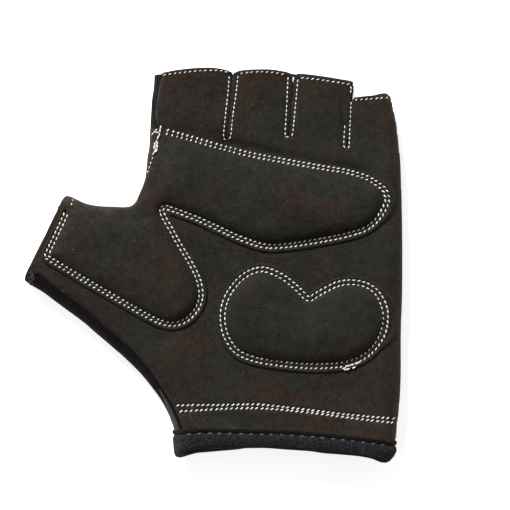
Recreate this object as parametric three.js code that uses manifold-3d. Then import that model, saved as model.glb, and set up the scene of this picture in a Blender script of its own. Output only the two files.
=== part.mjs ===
// A fingerless cycling glove for the left hand, lying palm up as it comes off the hand.
// Millimetres. +Z is up, +Y runs towards the fingers and -X towards the thumb.
// The origin is in the middle of the footprint, on the surface that the back of the glove rests on.

import * as THREE from "three";
import { mergeVertices } from "three/addons/utils/BufferGeometryUtils.js";
import Module from "manifold-3d";

const wasm = await Module();
wasm.setup();

// Cloth and clearances
const WALL = 1.3; // suede palm and knitted back
const SEAM_GAP = 0.3; // clearance between two sewn pieces
const TRIM = 1.0; // suede patches at their edge
const PATCH_LOWEST = 12.2; // a patch that reaches over the side of the glove hangs no lower than this
const SEAM_Z = 7.0; // height of the seam between palm and back, where the glove is widest
const SIDE_STRIP_Z = 3.4; // lower edge of the strips that form the thumb side
const OPEN_END = 8; // how far a hollow runs on past the glove's open ends
const FAR = 120; // past every edge of the glove, for the cutting outlines

// Cuff binding
const BINDING = { thick: 1.0, past: 1.4 }; // past: how far its fold runs beyond the panels

// Sleeves. Each row is one cross-section, given by its two side edges in plan.
// bow: how far its middle runs ahead of its sides. base and height: where its underside is, and how tall it is.
// round: the plan width of the rounded left and right sides. crown: how much its middle stands over its sides.
// corner: how far a sleeve's open end is rounded off at its left and right.
const HAND = [
  { left: [-14.0, -76.0], right: [70.7, -78.1], bow: 4.7, base: 1.3, height: 12.6, round: [6.5, 6.5], crown: 0.8, corner: [0.3, 2.6] },
  { left: [-14.9, -65.6], right: [72.4, -70.4], bow: 1.9, base: 1.3, height: 13.4, round: [7, 7], crown: 0.9 },
  { left: [-19.2, -57.0], right: [74.2, -59.0], bow: 1.0, base: 0, height: 15.2, round: [8, 8], crown: 1.0 },
  { left: [-26.2, -46.0], right: [74.9, -43.0], bow: 0, base: 0, height: 16.2, round: [9, 9], crown: 1.0 },
  { left: [-31.0, -22.0], right: [75.2, -20.0], bow: 0, base: 0, height: 17.0, round: [10, 9], crown: 1.0 },
  { left: [-32.0, 4.0], right: [75.6, 4.0], bow: 0, base: 0, height: 17.0, round: [10, 9], crown: 1.0 },
  { left: [-30.3, 24.0], right: [75.5, 22.0], bow: 1.0, base: 0, height: 16.4, round: [7, 8], crown: 0.9 },
  { left: [-26.9, 37.0], right: [75.1, 34.0], bow: 2.2, base: 0, height: 15.6, round: [6, 7], crown: 0.7 },
  { left: [-25.6, 49.6], right: [74.4, 44.4], bow: 3.4, base: 0, height: 14.4, round: [5, 6], crown: 0.5 },
];

// The thumb's sleeve runs from inside the palm out to its opening. left is its wrist side, right its finger side.
const THUMB = [
  { left: [-18.5, -58.0], right: [10.0, -34.0], bow: 0, base: 0, height: 15.2, round: [7, 4], crown: 0.4 },
  { left: [-22.8, -51.6], right: [6.0, -14.0], bow: 0, base: 0, height: 15.6, round: [8, 4], crown: 0.6 },
  { left: [-30.3, -42.4], right: [-4.0, 6.0], bow: 0, base: 0, height: 16.2, round: [8, 4], crown: 0.8 },
  { left: [-40.6, -33.0], right: [-18.0, 18.4], bow: 0, base: 0, height: 16.4, round: [8, 6], crown: 0.9 },
  { left: [-51.2, -23.8], right: [-31.0, 23.5], bow: 0, base: 0, height: 16.0, round: [8, 6], crown: 0.9 },
  { left: [-60.0, -17.2], right: [-40.6, 23.4], bow: 0, base: 0, height: 15.4, round: [7, 6], crown: 0.8 },
  { left: [-68.4, -11.2], right: [-49.6, 24.3], bow: 0.2, base: 0, height: 14.6, round: [6, 6], crown: 0.7 },
  { left: [-75.4, -6.6], right: [-58.3, 28.3], bow: 0.4, base: 0, height: 13.8, round: [5, 5], crown: 0.6, corner: [1.0, 0.4] },
];

// Fingers, thumb side first. root and tip: their left and right edges where they leave the palm and where they end.
const FINGERS = [
  { name: "index", rootL: [-25.5, 48.0], rootR: [5.1, 48.0], tipL: [-23.6, 75.4], tipR: [7.6, 77.0], bow: 2.7, round: [5, 2.2] },
  { name: "middle", rootL: [5.7, 48.0], rootR: [30.1, 48.0], tipL: [8.0, 76.8], tipR: [31.9, 76.6], bow: 1.5, round: [2.2, 2.2] },
  { name: "ring", rootL: [30.7, 47.0], rootR: [53.4, 46.0], tipL: [32.4, 76.7], tipR: [56.3, 73.0], bow: 0.7, round: [2.2, 2.2] },
  { name: "little", rootL: [53.9, 45.0], rootR: [74.5, 43.0], tipL: [56.8, 66.9], tipR: [71.4, 67.7], bow: 0.3, round: [2.2, 5] },
];
const FINGER = { rootHeight: 13.8, tipHeight: 13.0, crown: 0.6, insidePalm: 14 };

// Edge of the suede palm on the thumb side, from the index finger's tip round the thumb and down to the wrist.
const PALM_EDGE = [
  [-19.0, 84], [-19.2, 76], [-21.4, 62], [-22.2, 55], [-23.4, 48], [-25.2, 38], [-27.4, 30], [-30.4, 23.6],
  [-35, 21.8], [-42, 22.0], [-51, 22.6], [-58, 20.8], [-66, 20.0], [-92, 20.0], [-92, 6.0], [-75.0, 0.6], [-65.3, -8.2],
  [-57.7, -13.4], [-49.2, -19.9], [-40.5, -27.6], [-32.8, -34.0], [-26.2, -41.2], [-20.1, -50.0], [-15.9, -57.0],
  [-11.8, -66.0], [-9.0, -84],
];
const INDEX_SIDE_ENDS = 53.6; // where the index finger's knitted side meets the suede web strip
const STRIP_WIDTH = 13; // plan width of the strips, measured in from the glove's edge

// Suede patches. Each row of the grip patch joins its outer edge to its inner edge, from the little-finger end
// round the crotch of the thumb to the thumb's opening. pad: how far the foam lifts the suede in the middle.
const GRIP_PATCH = [
  { outer: [71.4, 26.5], inner: [71.3, 22.5], pad: 0.3 },
  { outer: [69.6, 31.4], inner: [70.3, 18.6], pad: 1.6 },
  { outer: [65.2, 34.8], inner: [67.0, 14.8], pad: 2.4 },
  { outer: [57.0, 38.0], inner: [60.0, 11.2], pad: 2.8 },
  { outer: [44.0, 41.0], inner: [45.0, 6.6], pad: 3.0 },
  { outer: [29.0, 43.2], inner: [30.0, 4.4], pad: 3.0 },
  { outer: [14.0, 46.2], inner: [15.5, 6.4], pad: 3.0 },
  { outer: [0.0, 50.0], inner: [3.5, 12.0], pad: 2.8 },
  { outer: [-12.0, 53.0], inner: [-8.0, 17.8], pad: 2.4 },
  { outer: [-21.4, 54.2], inner: [-16.4, 21.0], pad: 1.8 },
  { outer: [-24.4, 40.0], inner: [-18.4, 21.2], pad: 1.2 },
  { outer: [-28.8, 25.4], inner: [-18.0, 18.6], pad: 1.2 },
  { outer: [-36.0, 21.0], inner: [-13.6, 10.0], pad: 2.0 },
  { outer: [-43.0, 21.2], inner: [-8.2, 1.0], pad: 2.6 },
  { outer: [-48.0, 21.4], inner: [-3.8, -7.2], pad: 2.8 },
  { outer: [-52.0, 20.4], inner: [-2.2, -13.6], pad: 2.8 },
  { outer: [-56.0, 18.0], inner: [-5.4, -20.4], pad: 2.8 },
  { outer: [-59.6, 13.0], inner: [-12.4, -25.0], pad: 2.8 },
  { outer: [-62.6, 9.0], inner: [-20.4, -26.8], pad: 2.6 },
  { outer: [-64.8, 6.0], inner: [-28.6, -23.4], pad: 2.2 },
  { outer: [-66.4, 3.8], inner: [-46.0, -12.0], pad: 1.4 },
  { outer: [-67.8, 1.8], inner: [-64.0, -1.8], pad: 0.4 },
];

// The heel patch, a bean under the little finger: its outline at equal turns round its middle.
const HEEL_PATCH = {
  middle: [36.6, -22.4],
  outline: [
    { at: [71.4, -22.0] }, { at: [70.6, -12.0] }, { at: [65.6, -5.2] }, { at: [57.0, -2.0] }, { at: [47.0, -5.0] },
    { at: [37.6, -10.4] }, { at: [31.0, -3.6] }, { at: [20.0, 0.8] }, { at: [9.4, -2.0] }, { at: [3.2, -10.0] },
    { at: [0.9, -22.0] }, { at: [4.0, -33.0] }, { at: [12.0, -38.8] }, { at: [24.0, -41.8] }, { at: [38.0, -42.8] },
    { at: [52.0, -42.4] }, { at: [63.0, -38.0] }, { at: [69.4, -31.6] },
  ],
  pad: 3.0,
};

// The woven tape beside the palm's edge, from a point above the wrist down to the binding.
const EDGE_TAPE = [
  { inner: [-21.5, -48.5], outer: [-21.8, -48.8] },
  { inner: [-18.5, -53.2], outer: [-19.6, -53.6] },
  { inner: [-16.0, -57.6], outer: [-17.6, -58.0] },
  { inner: [-14.1, -61.6], outer: [-15.9, -62.2] },
  { inner: [-12.5, -65.0], outer: [-14.6, -65.4] },
];

const lerp = THREE.MathUtils.lerp;

// A closed geometry as a solid that can be cut and joined.
function solidOf(geometry) {
  const bare = new THREE.BufferGeometry().setAttribute("position", geometry.getAttribute("position"));
  if (geometry.index) bare.setIndex(geometry.index);
  const merged = mergeVertices(bare, 1e-4);
  const vertProperties = merged.getAttribute("position").array;
  const triVerts = new Uint32Array(merged.index.array);
  const made = new wasm.Manifold(new wasm.Mesh({ numProp: 3, vertProperties, triVerts }));
  if (made.volume() > 0) return made;
  for (let i = 0; i < triVerts.length; i += 3) [triVerts[i], triVerts[i + 1]] = [triVerts[i + 1], triVerts[i]];
  return new wasm.Manifold(new wasm.Mesh({ numProp: 3, vertProperties, triVerts }));
}

// A solid as a geometry again.
function geometryOf(solid) {
  const mesh = solid.getMesh();
  const geometry = new THREE.BufferGeometry();
  geometry.setAttribute("position", new THREE.BufferAttribute(new Float32Array(mesh.vertProperties), 3));
  geometry.setIndex(new THREE.BufferAttribute(new Uint32Array(mesh.triVerts), 1));
  geometry.computeVertexNormals();
  return geometry;
}

// Rows of closed rings, joined into one closed body. Each ring is a list of [x, y, z] with the same even length.
// seam is the corner that the two end faces are zipped up from.
function loft(rings, seam = 0) {
  const count = rings[0].length;
  const positions = rings.flat(2);
  const index = [];
  for (let r = 0; r + 1 < rings.length; r++)
    for (let i = 0; i < count; i++) {
      const a = r * count + i;
      const b = r * count + ((i + 1) % count);
      index.push(a, b, b + count, a, b + count, a + count);
    }
  const zip = (first, turn) => {
    const at = (k) => first + ((k + count) % count);
    const face = (a, b, c) => index.push(...(turn ? [a, c, b] : [a, b, c]));
    for (let k = 0; k < count / 2; k++) {
      if (k > 0) face(at(seam + k), at(seam + k + 1), at(seam - k));
      if (k + 1 < count / 2) face(at(seam + k + 1), at(seam - k - 1), at(seam - k));
    }
  };
  zip(0, true);
  zip((rings.length - 1) * count, false);
  const geometry = new THREE.BufferGeometry();
  geometry.setAttribute("position", new THREE.BufferAttribute(new Float32Array(positions), 3));
  geometry.setIndex(index);
  return solidOf(geometry);
}

// More rows between the given ones, on smooth curves through their side edges.
function smoothRows(rows, count) {
  const edge = (side) => new THREE.CatmullRomCurve3(rows.map((row) => new THREE.Vector3(...row[side], 0)));
  const [left, right] = [edge("left"), edge("right")];
  return Array.from({ length: count + 1 }, (_, i) => {
    const t = i / count;
    const at = Math.min(Math.floor(t * (rows.length - 1)), rows.length - 2);
    const s = t * (rows.length - 1) - at;
    const [a, b] = [rows[at], rows[at + 1]];
    const between = (key) => lerp(a[key], b[key], s);
    return {
      left: left.getPoint(t).toArray().slice(0, 2),
      right: right.getPoint(t).toArray().slice(0, 2),
      round: [lerp(a.round[0], b.round[0], s), lerp(a.round[1], b.round[1], s)],
      corner: [0, 1].map((side) => lerp(a.corner?.[side] ?? 0, b.corner?.[side] ?? 0, s)),
      bow: between("bow"), base: between("base"), height: between("height"), crown: between("crown"),
    };
  });
}

// One cross-section of a sleeve, swollen by grow on every side: flat below, rounded at the sides, crowned on top.
function ring(row, grow, steps, openEnd) {
  const left = new THREE.Vector2(...row.left);
  const right = new THREE.Vector2(...row.right);
  const half = left.distanceTo(right) / 2;
  const middle = left.clone().add(right).multiplyScalar(0.5);
  const across = right.clone().sub(left).normalize();
  const along = new THREE.Vector2(-across.y, across.x);
  const [flatL, flatR] = [row.round[0] - half, half - row.round[1]];
  const lower = SEAM_Z - row.base + grow;
  const upper = row.base + row.height - SEAM_Z + grow;
  const outline = [];
  const arc = (centre, radius, from, to) => {
    for (let i = 0; i < steps.side; i++) {
      const a = lerp(from, to, i / steps.side) * (Math.PI / 180);
      outline.push([centre + radius * Math.cos(a), SEAM_Z + (Math.sin(a) < 0 ? lower : upper) * Math.sin(a)]);
    }
  };
  for (let i = 0; i < steps.flat; i++) outline.push([lerp(flatL, flatR, i / steps.flat), SEAM_Z - lower]);
  arc(flatR, row.round[1] + grow, -90, 90);
  for (let i = 0; i < steps.flat; i++) {
    const s = i / steps.flat;
    outline.push([lerp(flatR, flatL, s), SEAM_Z + upper + row.crown * Math.sin(Math.PI * s)]);
  }
  arc(flatL, row.round[0] + grow, 90, 270);
  return outline.map(([u, z]) => {
    const radius = Math.abs(row.corner[u > 0 ? 1 : 0]);
    const over = Math.max(0, Math.abs(u) - (half + grow - radius));
    const rounded = radius - Math.sqrt(Math.max(0, radius ** 2 - over ** 2));
    const ahead = row.bow * (1 - Math.min(1, (u / half) ** 2)) + rounded * (openEnd ? -1 : 1);
    return [middle.x + across.x * u + along.x * ahead, middle.y + across.y * u + along.y * ahead, z];
  });
}

// A row moved along its sleeve: out past an open end for a hollow, or back for the wall at a closed end.
function moved(row, distance) {
  const across = new THREE.Vector2(row.right[0] - row.left[0], row.right[1] - row.left[1]).normalize();
  const step = ([x, y]) => [x - across.y * distance, y + across.x * distance];
  return { ...row, left: step(row.left), right: step(row.right) };
}

function sleeve(rows, grow, steps, { atStart = 0, atEnd = 0 } = {}) {
  const all = [...rows];
  if (atStart) all.unshift(moved(rows[0], -atStart));
  if (atEnd > 0) all.push(moved(rows.at(-1), atEnd));
  if (atEnd < 0) all[all.length - 1] = moved(rows.at(-1), atEnd);
  const corner = 2 * steps.flat + steps.side + steps.side / 2;
  return loft(all.map((row, i) => ring(row, grow, steps, i > all.length / 2)), corner);
}

const HAND_STEPS = { flat: 6, side: 8 };
const THUMB_STEPS = { flat: 4, side: 8 };
const FINGER_STEPS = { flat: 3, side: 6 };
const handRows = smoothRows(HAND, 2 * (HAND.length - 1));
const thumbRows = smoothRows(THUMB, 2 * (THUMB.length - 1));

function fingerRows(finger) {
  const shared = { base: 0, round: finger.round, crown: FINGER.crown };
  const drop = ([x, y]) => [x, y - FINGER.insidePalm];
  const inside = { left: drop(finger.rootL), right: drop(finger.rootR), bow: 0, height: FINGER.rootHeight, ...shared };
  const root = { left: finger.rootL, right: finger.rootR, bow: 0, height: FINGER.rootHeight, ...shared };
  const tip = { left: finger.tipL, right: finger.tipR, bow: finger.bow, height: FINGER.tipHeight, ...shared };
  return smoothRows([inside, root, tip], 4);
}

// The whole glove as one body, swollen by grow. With open set, it runs out past the five openings and the wrist.
function gloveBody(grow, open) {
  const past = open ? OPEN_END : grow;
  const sleeves = [
    sleeve(handRows, grow, HAND_STEPS, { atStart: past, atEnd: grow }),
    sleeve(thumbRows, grow, THUMB_STEPS, { atEnd: past }),
    ...FINGERS.map((finger) => sleeve(fingerRows(finger), grow, FINGER_STEPS, { atEnd: past })),
  ];
  return sleeves.reduce((all, next) => all.add(next));
}

// A straight-sided body over a plan outline, for cutting.
function prism(points, low, high) {
  const shape = new THREE.Shape(points.map(([x, y]) => new THREE.Vector2(x, y)));
  const geometry = new THREE.ExtrudeGeometry(shape, { depth: high - low, bevelEnabled: false, steps: 1 });
  return solidOf(geometry.translate(0, 0, low));
}

// Points on a smooth curve through the given ones, moved sideways by offset: to its left where that is positive.
function edgeCurve(points, count, offset) {
  const curve = new THREE.CatmullRomCurve3(points.map(([x, y]) => new THREE.Vector3(x, y, 0)));
  return Array.from({ length: count + 1 }, (_, i) => {
    const t = i / count;
    const p = curve.getPoint(t);
    const d = curve.getTangent(t);
    return [p.x - d.y * offset, p.y + d.x * offset];
  });
}

// The suede palm's plan region, drawn in or let out by offset along its thumb-side edge.
function palmRegion(offset) {
  return [...edgeCurve(PALM_EDGE, 72, -offset), [FAR, -FAR], [FAR, FAR], [-10, FAR]];
}

// Plan region of the strips on the thumb side: outside this line, from the fingertips to the thumb's opening.
function stripRegion(offset) {
  const inner = [
    [-23.2 + STRIP_WIDTH, FAR], [-23.2 + STRIP_WIDTH, 60], [-26 + STRIP_WIDTH, 46], [-30 + STRIP_WIDTH, 24],
    [-36 + STRIP_WIDTH / 2, 15], [-48, 23.8 - STRIP_WIDTH], [-64, 24 - STRIP_WIDTH], [-FAR, 24 - STRIP_WIDTH],
  ];
  return [...inner.map(([x, y]) => [x + offset, y - offset]), [-FAR, FAR]];
}

const outerBody = gloveBody(0, false);
const hollow = gloveBody(-WALL, true);
const clearance = gloveBody(SEAM_GAP, false); // what anything lying on the glove keeps clear of
const cloth = outerBody.subtract(hollow);
const half = SEAM_GAP / 2;
const palmTool = prism(palmRegion(-half), SEAM_Z + half, FAR);
const palmRoom = prism(palmRegion(half), SEAM_Z - half, FAR);
const stripTool = prism(stripRegion(-half), SIDE_STRIP_Z + half, FAR);
const stripRoom = prism(stripRegion(half), SIDE_STRIP_Z - half, FAR);

// Height of the glove's surface over a plan point, by looking straight down on it.
const skin = new THREE.Mesh(geometryOf(clearance), new THREE.MeshBasicMaterial());
const down = new THREE.Vector3(0, 0, -1);
function surfaceZ([x, y]) {
  const hit = new THREE.Raycaster(new THREE.Vector3(x, y, FAR), down).intersectObject(skin)[0];
  return Math.max(hit ? hit.point.z : 0, PATCH_LOWEST);
}

// A suede patch over foam, from rows of plan points: thin at its edge, lifted in its middle, seated on the palm.
function patchBody(rows, lift) {
  const across = rows[0].length;
  const top = rows.map((row, i) => row.map((p, j) => [...p, surfaceZ(p) + TRIM + lift(i, j)]));
  const under = rows.map((row) => row.map((p) => [...p, surfaceZ(p) - TRIM]));
  const positions = [...top.flat(2), ...under.flat(2)];
  const lower = rows.length * across;
  const index = [];
  const quad = (a, b, c, d) => index.push(a, b, c, a, c, d);
  for (let i = 0; i + 1 < rows.length; i++)
    for (let j = 0; j + 1 < across; j++) {
      const a = i * across + j;
      quad(a, a + 1, a + across + 1, a + across);
      quad(lower + a, lower + a + across, lower + a + across + 1, lower + a + 1);
    }
  const rim = [];
  for (let j = 0; j + 1 < across; j++) rim.push(j);
  for (let i = 0; i + 1 < rows.length; i++) rim.push(i * across + across - 1);
  for (let j = across - 1; j > 0; j--) rim.push((rows.length - 1) * across + j);
  for (let i = rows.length - 1; i > 0; i--) rim.push(i * across);
  rim.forEach((a, k) => {
    const b = rim[(k + 1) % rim.length];
    quad(b, a, a + lower, b + lower);
  });
  const geometry = new THREE.BufferGeometry();
  geometry.setAttribute("position", new THREE.BufferAttribute(new Float32Array(positions), 3));
  geometry.setIndex(index);
  return solidOf(geometry).subtract(clearance);
}

// How far foam lifts the suede at a share of the way across a pad, 0 and 1 being its two stitched edges.
function foam(share, stitched) {
  const inside = Math.min(share, 1 - share) / stitched - 1;
  return inside <= 0 ? 0 : Math.sin((Math.PI / 2) * Math.min(1, inside / 1.6));
}

function gripPatch() {
  const STEPS = 34, ACROSS = 9, STITCHED = 0.1;
  const side = (key) => new THREE.CatmullRomCurve3(GRIP_PATCH.map((row) => new THREE.Vector3(...row[key], row.pad)));
  const [outer, inner] = [side("outer"), side("inner")];
  const rows = [], pads = [];
  for (let i = 0; i <= STEPS; i++) {
    const [a, b] = [outer.getPoint(i / STEPS), inner.getPoint(i / STEPS)];
    rows.push(Array.from({ length: ACROSS + 1 }, (_, j) => [lerp(a.x, b.x, j / ACROSS), lerp(a.y, b.y, j / ACROSS)]));
    pads.push(a.z);
  }
  return patchBody(rows, (i, j) => pads[i] * foam(j / ACROSS, STITCHED));
}

function heelPatch() {
  const TURNS = 48, SHARES = [0.04, 0.2, 0.4, 0.6, 0.76, 0.9, 1];
  const { middle, outline, pad } = HEEL_PATCH;
  const curve = new THREE.CatmullRomCurve3(outline.map(({ at }) => new THREE.Vector3(...at, 0)), true);
  const turns = Array.from({ length: TURNS }, (_, i) => curve.getPoint(i / TURNS));
  const loopAt = (share, low) => turns.map((p) => {
    const plan = [lerp(middle[0], p.x, share), lerp(middle[1], p.y, share)];
    return [...plan, surfaceZ(plan) + (low ? -TRIM : TRIM + pad * foam((1 - share) / 2, 0.05))];
  });
  const rings = [loopAt(SHARES[0], true), ...[...SHARES].reverse().slice(0, 1).map((s) => loopAt(s, true))];
  return loft([...rings, ...[...SHARES].reverse().map((s) => loopAt(s, false))]).subtract(clearance);
}

// The binding folded over the wrist's edge, outside and inside, round both panels.
function cuffBinding() {
  const covered = handRows.slice(0, 3);
  const rows = [moved(covered[0], -BINDING.past), ...covered];
  const outside = sleeve(rows, SEAM_GAP + BINDING.thick, HAND_STEPS);
  const inside = sleeve(rows, -(WALL + SEAM_GAP + BINDING.thick), HAND_STEPS, { atStart: OPEN_END, atEnd: OPEN_END });
  const panels = sleeve(handRows, SEAM_GAP, HAND_STEPS, { atStart: SEAM_GAP });
  const core = sleeve(handRows, -(WALL + SEAM_GAP), HAND_STEPS, { atStart: OPEN_END });
  return outside.subtract(inside).subtract(panels.subtract(core));
}

function edgeTape() {
  const line = (key) => new THREE.CatmullRomCurve3(EDGE_TAPE.map((row) => new THREE.Vector3(...row[key], 0)));
  const points = (key) => line(key).getPoints(8).map((p) => [p.x, p.y]);
  const plan = [...points("inner"), ...points("outer").reverse()];
  return gloveBody(SEAM_GAP + 0.6, false).subtract(clearance).intersect(prism(plan, SEAM_Z, FAR));
}

const suede = { color: 0x2f2b27, roughness: 0.95, metalness: 0 };
const MATERIALS = {
  suede: new THREE.MeshStandardMaterial(suede),
  suedePad: new THREE.MeshStandardMaterial({ ...suede, color: 0x302d29 }),
  webSuede: new THREE.MeshStandardMaterial({ ...suede, color: 0x2d2d27 }),
  backKnit: new THREE.MeshStandardMaterial({ color: 0x1a1719, roughness: 0.9, metalness: 0 }),
  sideKnit: new THREE.MeshStandardMaterial({ color: 0x2b2c2a, roughness: 0.9, metalness: 0 }),
  binding: new THREE.MeshStandardMaterial({ color: 0x29282a, roughness: 0.92, metalness: 0 }),
  tape: new THREE.MeshStandardMaterial({ color: 0x232125, roughness: 0.8, metalness: 0 }),
};

function piece(name, solid, material) {
  const mesh = new THREE.Mesh(geometryOf(solid), material);
  mesh.name = name;
  return mesh;
}

const strips = cloth.intersect(stripTool).subtract(palmRoom);
const aboveWeb = [[-FAR, INDEX_SIDE_ENDS + half], [FAR, INDEX_SIDE_ENDS + half], [FAR, FAR], [-FAR, FAR]];
const belowIndex = [[-FAR, -FAR], [FAR, -FAR], [FAR, INDEX_SIDE_ENDS - half], [-FAR, INDEX_SIDE_ENDS - half]];

const glove = new THREE.Group();
glove.add(
  piece("palm_panel", cloth.intersect(palmTool), MATERIALS.suede),
  piece("back_panel", cloth.subtract(palmRoom).subtract(stripRoom), MATERIALS.backKnit),
  piece("index_side", strips.intersect(prism(aboveWeb, 0, FAR)), MATERIALS.sideKnit),
  piece("web_strip", strips.intersect(prism(belowIndex, 0, FAR)), MATERIALS.webSuede),
  piece("grip_patch", gripPatch(), MATERIALS.suedePad),
  piece("heel_patch", heelPatch(), MATERIALS.suedePad),
  piece("edge_tape", edgeTape(), MATERIALS.tape),
  piece("cuff_binding", cuffBinding(), MATERIALS.binding),
);

// The origin goes in the middle of the footprint, at the height of the surface that the glove rests on.
const bounds = new THREE.Box3().setFromObject(glove);
const middle = bounds.getCenter(new THREE.Vector3());
glove.children.forEach((mesh) => mesh.geometry.translate(-middle.x, -middle.y, -bounds.min.z));

export default glove;
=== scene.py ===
"""Looks of a fingerless cycling glove for the left hand, lying palm up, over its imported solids."""

import math

import bmesh
import bpy
import numpy as np
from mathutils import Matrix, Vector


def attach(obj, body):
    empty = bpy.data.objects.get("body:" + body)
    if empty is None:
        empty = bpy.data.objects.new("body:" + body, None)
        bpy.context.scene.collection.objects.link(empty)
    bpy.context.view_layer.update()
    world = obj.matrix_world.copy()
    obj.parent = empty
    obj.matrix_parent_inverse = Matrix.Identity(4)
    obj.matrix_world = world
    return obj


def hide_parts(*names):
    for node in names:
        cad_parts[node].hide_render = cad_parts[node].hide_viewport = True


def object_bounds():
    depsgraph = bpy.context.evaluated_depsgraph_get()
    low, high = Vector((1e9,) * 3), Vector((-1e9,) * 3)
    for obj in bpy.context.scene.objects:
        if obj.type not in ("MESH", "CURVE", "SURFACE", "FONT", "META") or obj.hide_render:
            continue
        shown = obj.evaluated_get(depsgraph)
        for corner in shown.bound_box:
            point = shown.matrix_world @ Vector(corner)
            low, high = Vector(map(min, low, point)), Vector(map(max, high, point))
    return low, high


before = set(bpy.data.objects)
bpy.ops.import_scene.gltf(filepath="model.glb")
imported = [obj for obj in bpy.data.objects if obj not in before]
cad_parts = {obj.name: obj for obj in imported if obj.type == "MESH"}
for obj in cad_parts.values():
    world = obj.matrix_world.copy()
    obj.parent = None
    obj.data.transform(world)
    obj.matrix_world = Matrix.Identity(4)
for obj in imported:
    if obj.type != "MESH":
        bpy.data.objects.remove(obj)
SOLID_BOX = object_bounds()

bl_info = {
    "name": "Cycling Glove",
    "version": (1, 0, 0),
    "blender": (4, 5, 0),
    "location": "View3D > Sidebar > Glove",
    "description": "Fingerless cycling glove with a padded suede palm, a knitted back and a bound wrist",
    "category": "Add Mesh",
}

MM = 0.001
PALM, BACK = 1, -1  # the glove's two faces

# Plan lines of the glove in millimetres, in the solids' frame. The outline runs anticlockwise.
LITTLE_FINGER_SIDE = [
    (71.2, -76.7), (72.0, -74.6), (72.7, -69.8), (73.2, -65.0), (73.9, -58.7), (74.4, -52.3), (74.8, -42.7),
    (74.8, -29.9), (75.0, -20.3), (75.3, -10.7), (75.4, 6.2), (75.2, 21.4), (74.8, 37.4), (74.4, 43.8),
    (73.8, 49.4), (73.1, 55.8), (72.4, 59.8), (71.6, 63.0), (71.0, 67.0), (70.4, 68.0),
]
THUMB_CROTCH_SIDE = [
    (-23.9, 75.8), (-24.2, 71.0), (-24.9, 66.2), (-25.2, 61.4), (-25.5, 56.6), (-25.6, 51.8), (-25.9, 47.0),
    (-26.5, 43.8), (-26.9, 39.8), (-27.3, 35.8), (-28.2, 32.5), (-29.2, 30.1), (-30.2, 27.8), (-31.2, 25.6),
    (-33.1, 23.9), (-35.9, 23.4), (-40.7, 23.6), (-45.5, 23.8), (-49.5, 24.4), (-52.2, 25.2), (-55.1, 26.6),
    (-57.5, 27.7), (-58.7, 27.9),
]
THUMB_WRIST_SIDE = [
    (-73.9, -7.5), (-68.2, -10.9), (-64.2, -13.9), (-59.9, -17.1), (-55.5, -20.3), (-51.3, -23.5),
    (-47.7, -26.7), (-43.9, -29.9), (-40.2, -33.1), (-36.6, -36.2), (-33.1, -39.5), (-29.9, -42.7),
    (-27.1, -45.9), (-24.6, -49.1), (-22.2, -52.3), (-20.2, -55.5), (-18.5, -58.7), (-17.2, -61.9),
    (-16.1, -65.0), (-15.4, -68.2), (-15.0, -71.5), (-14.8, -76.7),
]
THUMB_END = [
    (-58.7, 27.9), (-60.4, 25.4), (-62.7, 21.4), (-64.3, 18.1), (-65.8, 15.0), (-67.3, 11.8), (-69.0, 8.6),
    (-70.6, 5.4), (-72.2, 2.1), (-73.8, -1.1), (-75.0, -4.2), (-75.0, -6.2), (-73.9, -7.5),
]
INDEX_END = [
    (7.7, 76.2), (7.0, 77.1), (5.2, 78.0), (1.8, 78.7), (-2.0, 79.0), (-7.5, 78.8), (-13.5, 78.2),
    (-17.4, 77.6), (-20.7, 76.8), (-23.2, 76.0), (-23.9, 75.8),
]
MIDDLE_END = [
    (31.7, 75.6), (31.2, 76.5), (29.4, 77.2), (23.4, 78.2), (17.8, 78.3), (13.0, 78.1), (9.4, 77.5),
    (8.2, 76.2),
]
RING_END = [
    (55.9, 72.8), (55.4, 73.6), (50.6, 74.4), (44.6, 75.4), (38.6, 76.2), (34.6, 76.6), (32.9, 76.4),
    (32.3, 75.6),
]
LITTLE_END = [(70.4, 68.0), (69.0, 68.3), (67.0, 68.2), (62.6, 67.8), (58.6, 67.4), (56.7, 67.0)]
WRIST_END = [
    (-14.8, -73.8), (-8.0, -72.0), (0.0, -70.8), (12.0, -70.0), (24.0, -70.0), (38.0, -70.8), (52.0, -72.2),
    (64.0, -73.8), (71.2, -74.6),
]
# Each slit's middle line and half the gap left open, from the fingertips down, the little finger's slit first
FINGER_SLITS = [
    [(56.2, 72.0, 0.1), (55.4, 65.6, 0.01), (54.3, 56.0, 0.01), (53.3, 47.4, 0.01)],
    [(32.0, 76.4, 0.55), (31.6, 72.4, 0.08), (30.6, 60.0, 0.01), (30.0, 52.0, 0.01)],
    [(7.95, 77.0, 0.15), (7.6, 74.6, 0.02), (6.1, 59.0, 0.01), (5.2, 50.7, 0.01)],
]

# Edges of the suede palm on the thumb's two sides
PALM_EDGE_BY_CROTCH = [
    (-20.7, 79.6), (-20.9, 76.5), (-21.3, 74.0), (-22.0, 70.5), (-22.8, 65.8), (-23.4, 61.0), (-23.3, 58.0),
    (-22.4, 55.6), (-21.5, 53.0), (-21.3, 50.0), (-22.1, 46.0), (-23.5, 42.4), (-24.9, 38.2), (-26.2, 34.8),
    (-27.6, 31.4), (-28.9, 28.4), (-30.3, 25.2), (-31.9, 23.1), (-34.4, 22.5), (-40.0, 22.7), (-46.0, 23.0),
    (-50.0, 23.1), (-54.0, 22.8), (-58.0, 22.7), (-60.5, 23.4), (-63.0, 24.4),
]
PALM_EDGE_BY_WRIST = [
    (-73.2, -15.0), (-72.3, -10.0), (-71.8, -6.0), (-70.9, -3.2), (-68.6, -4.3), (-65.5, -7.0),
    (-57.9, -12.7), (-50.2, -18.1), (-43.9, -23.9), (-38.2, -28.7), (-33.0, -33.4), (-26.6, -40.4),
    (-23.1, -45.1), (-20.4, -49.4), (-16.2, -56.5), (-13.9, -61.3), (-11.9, -66.5), (-9.9, -72.2),
    (-8.4, -79.0),
]
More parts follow.
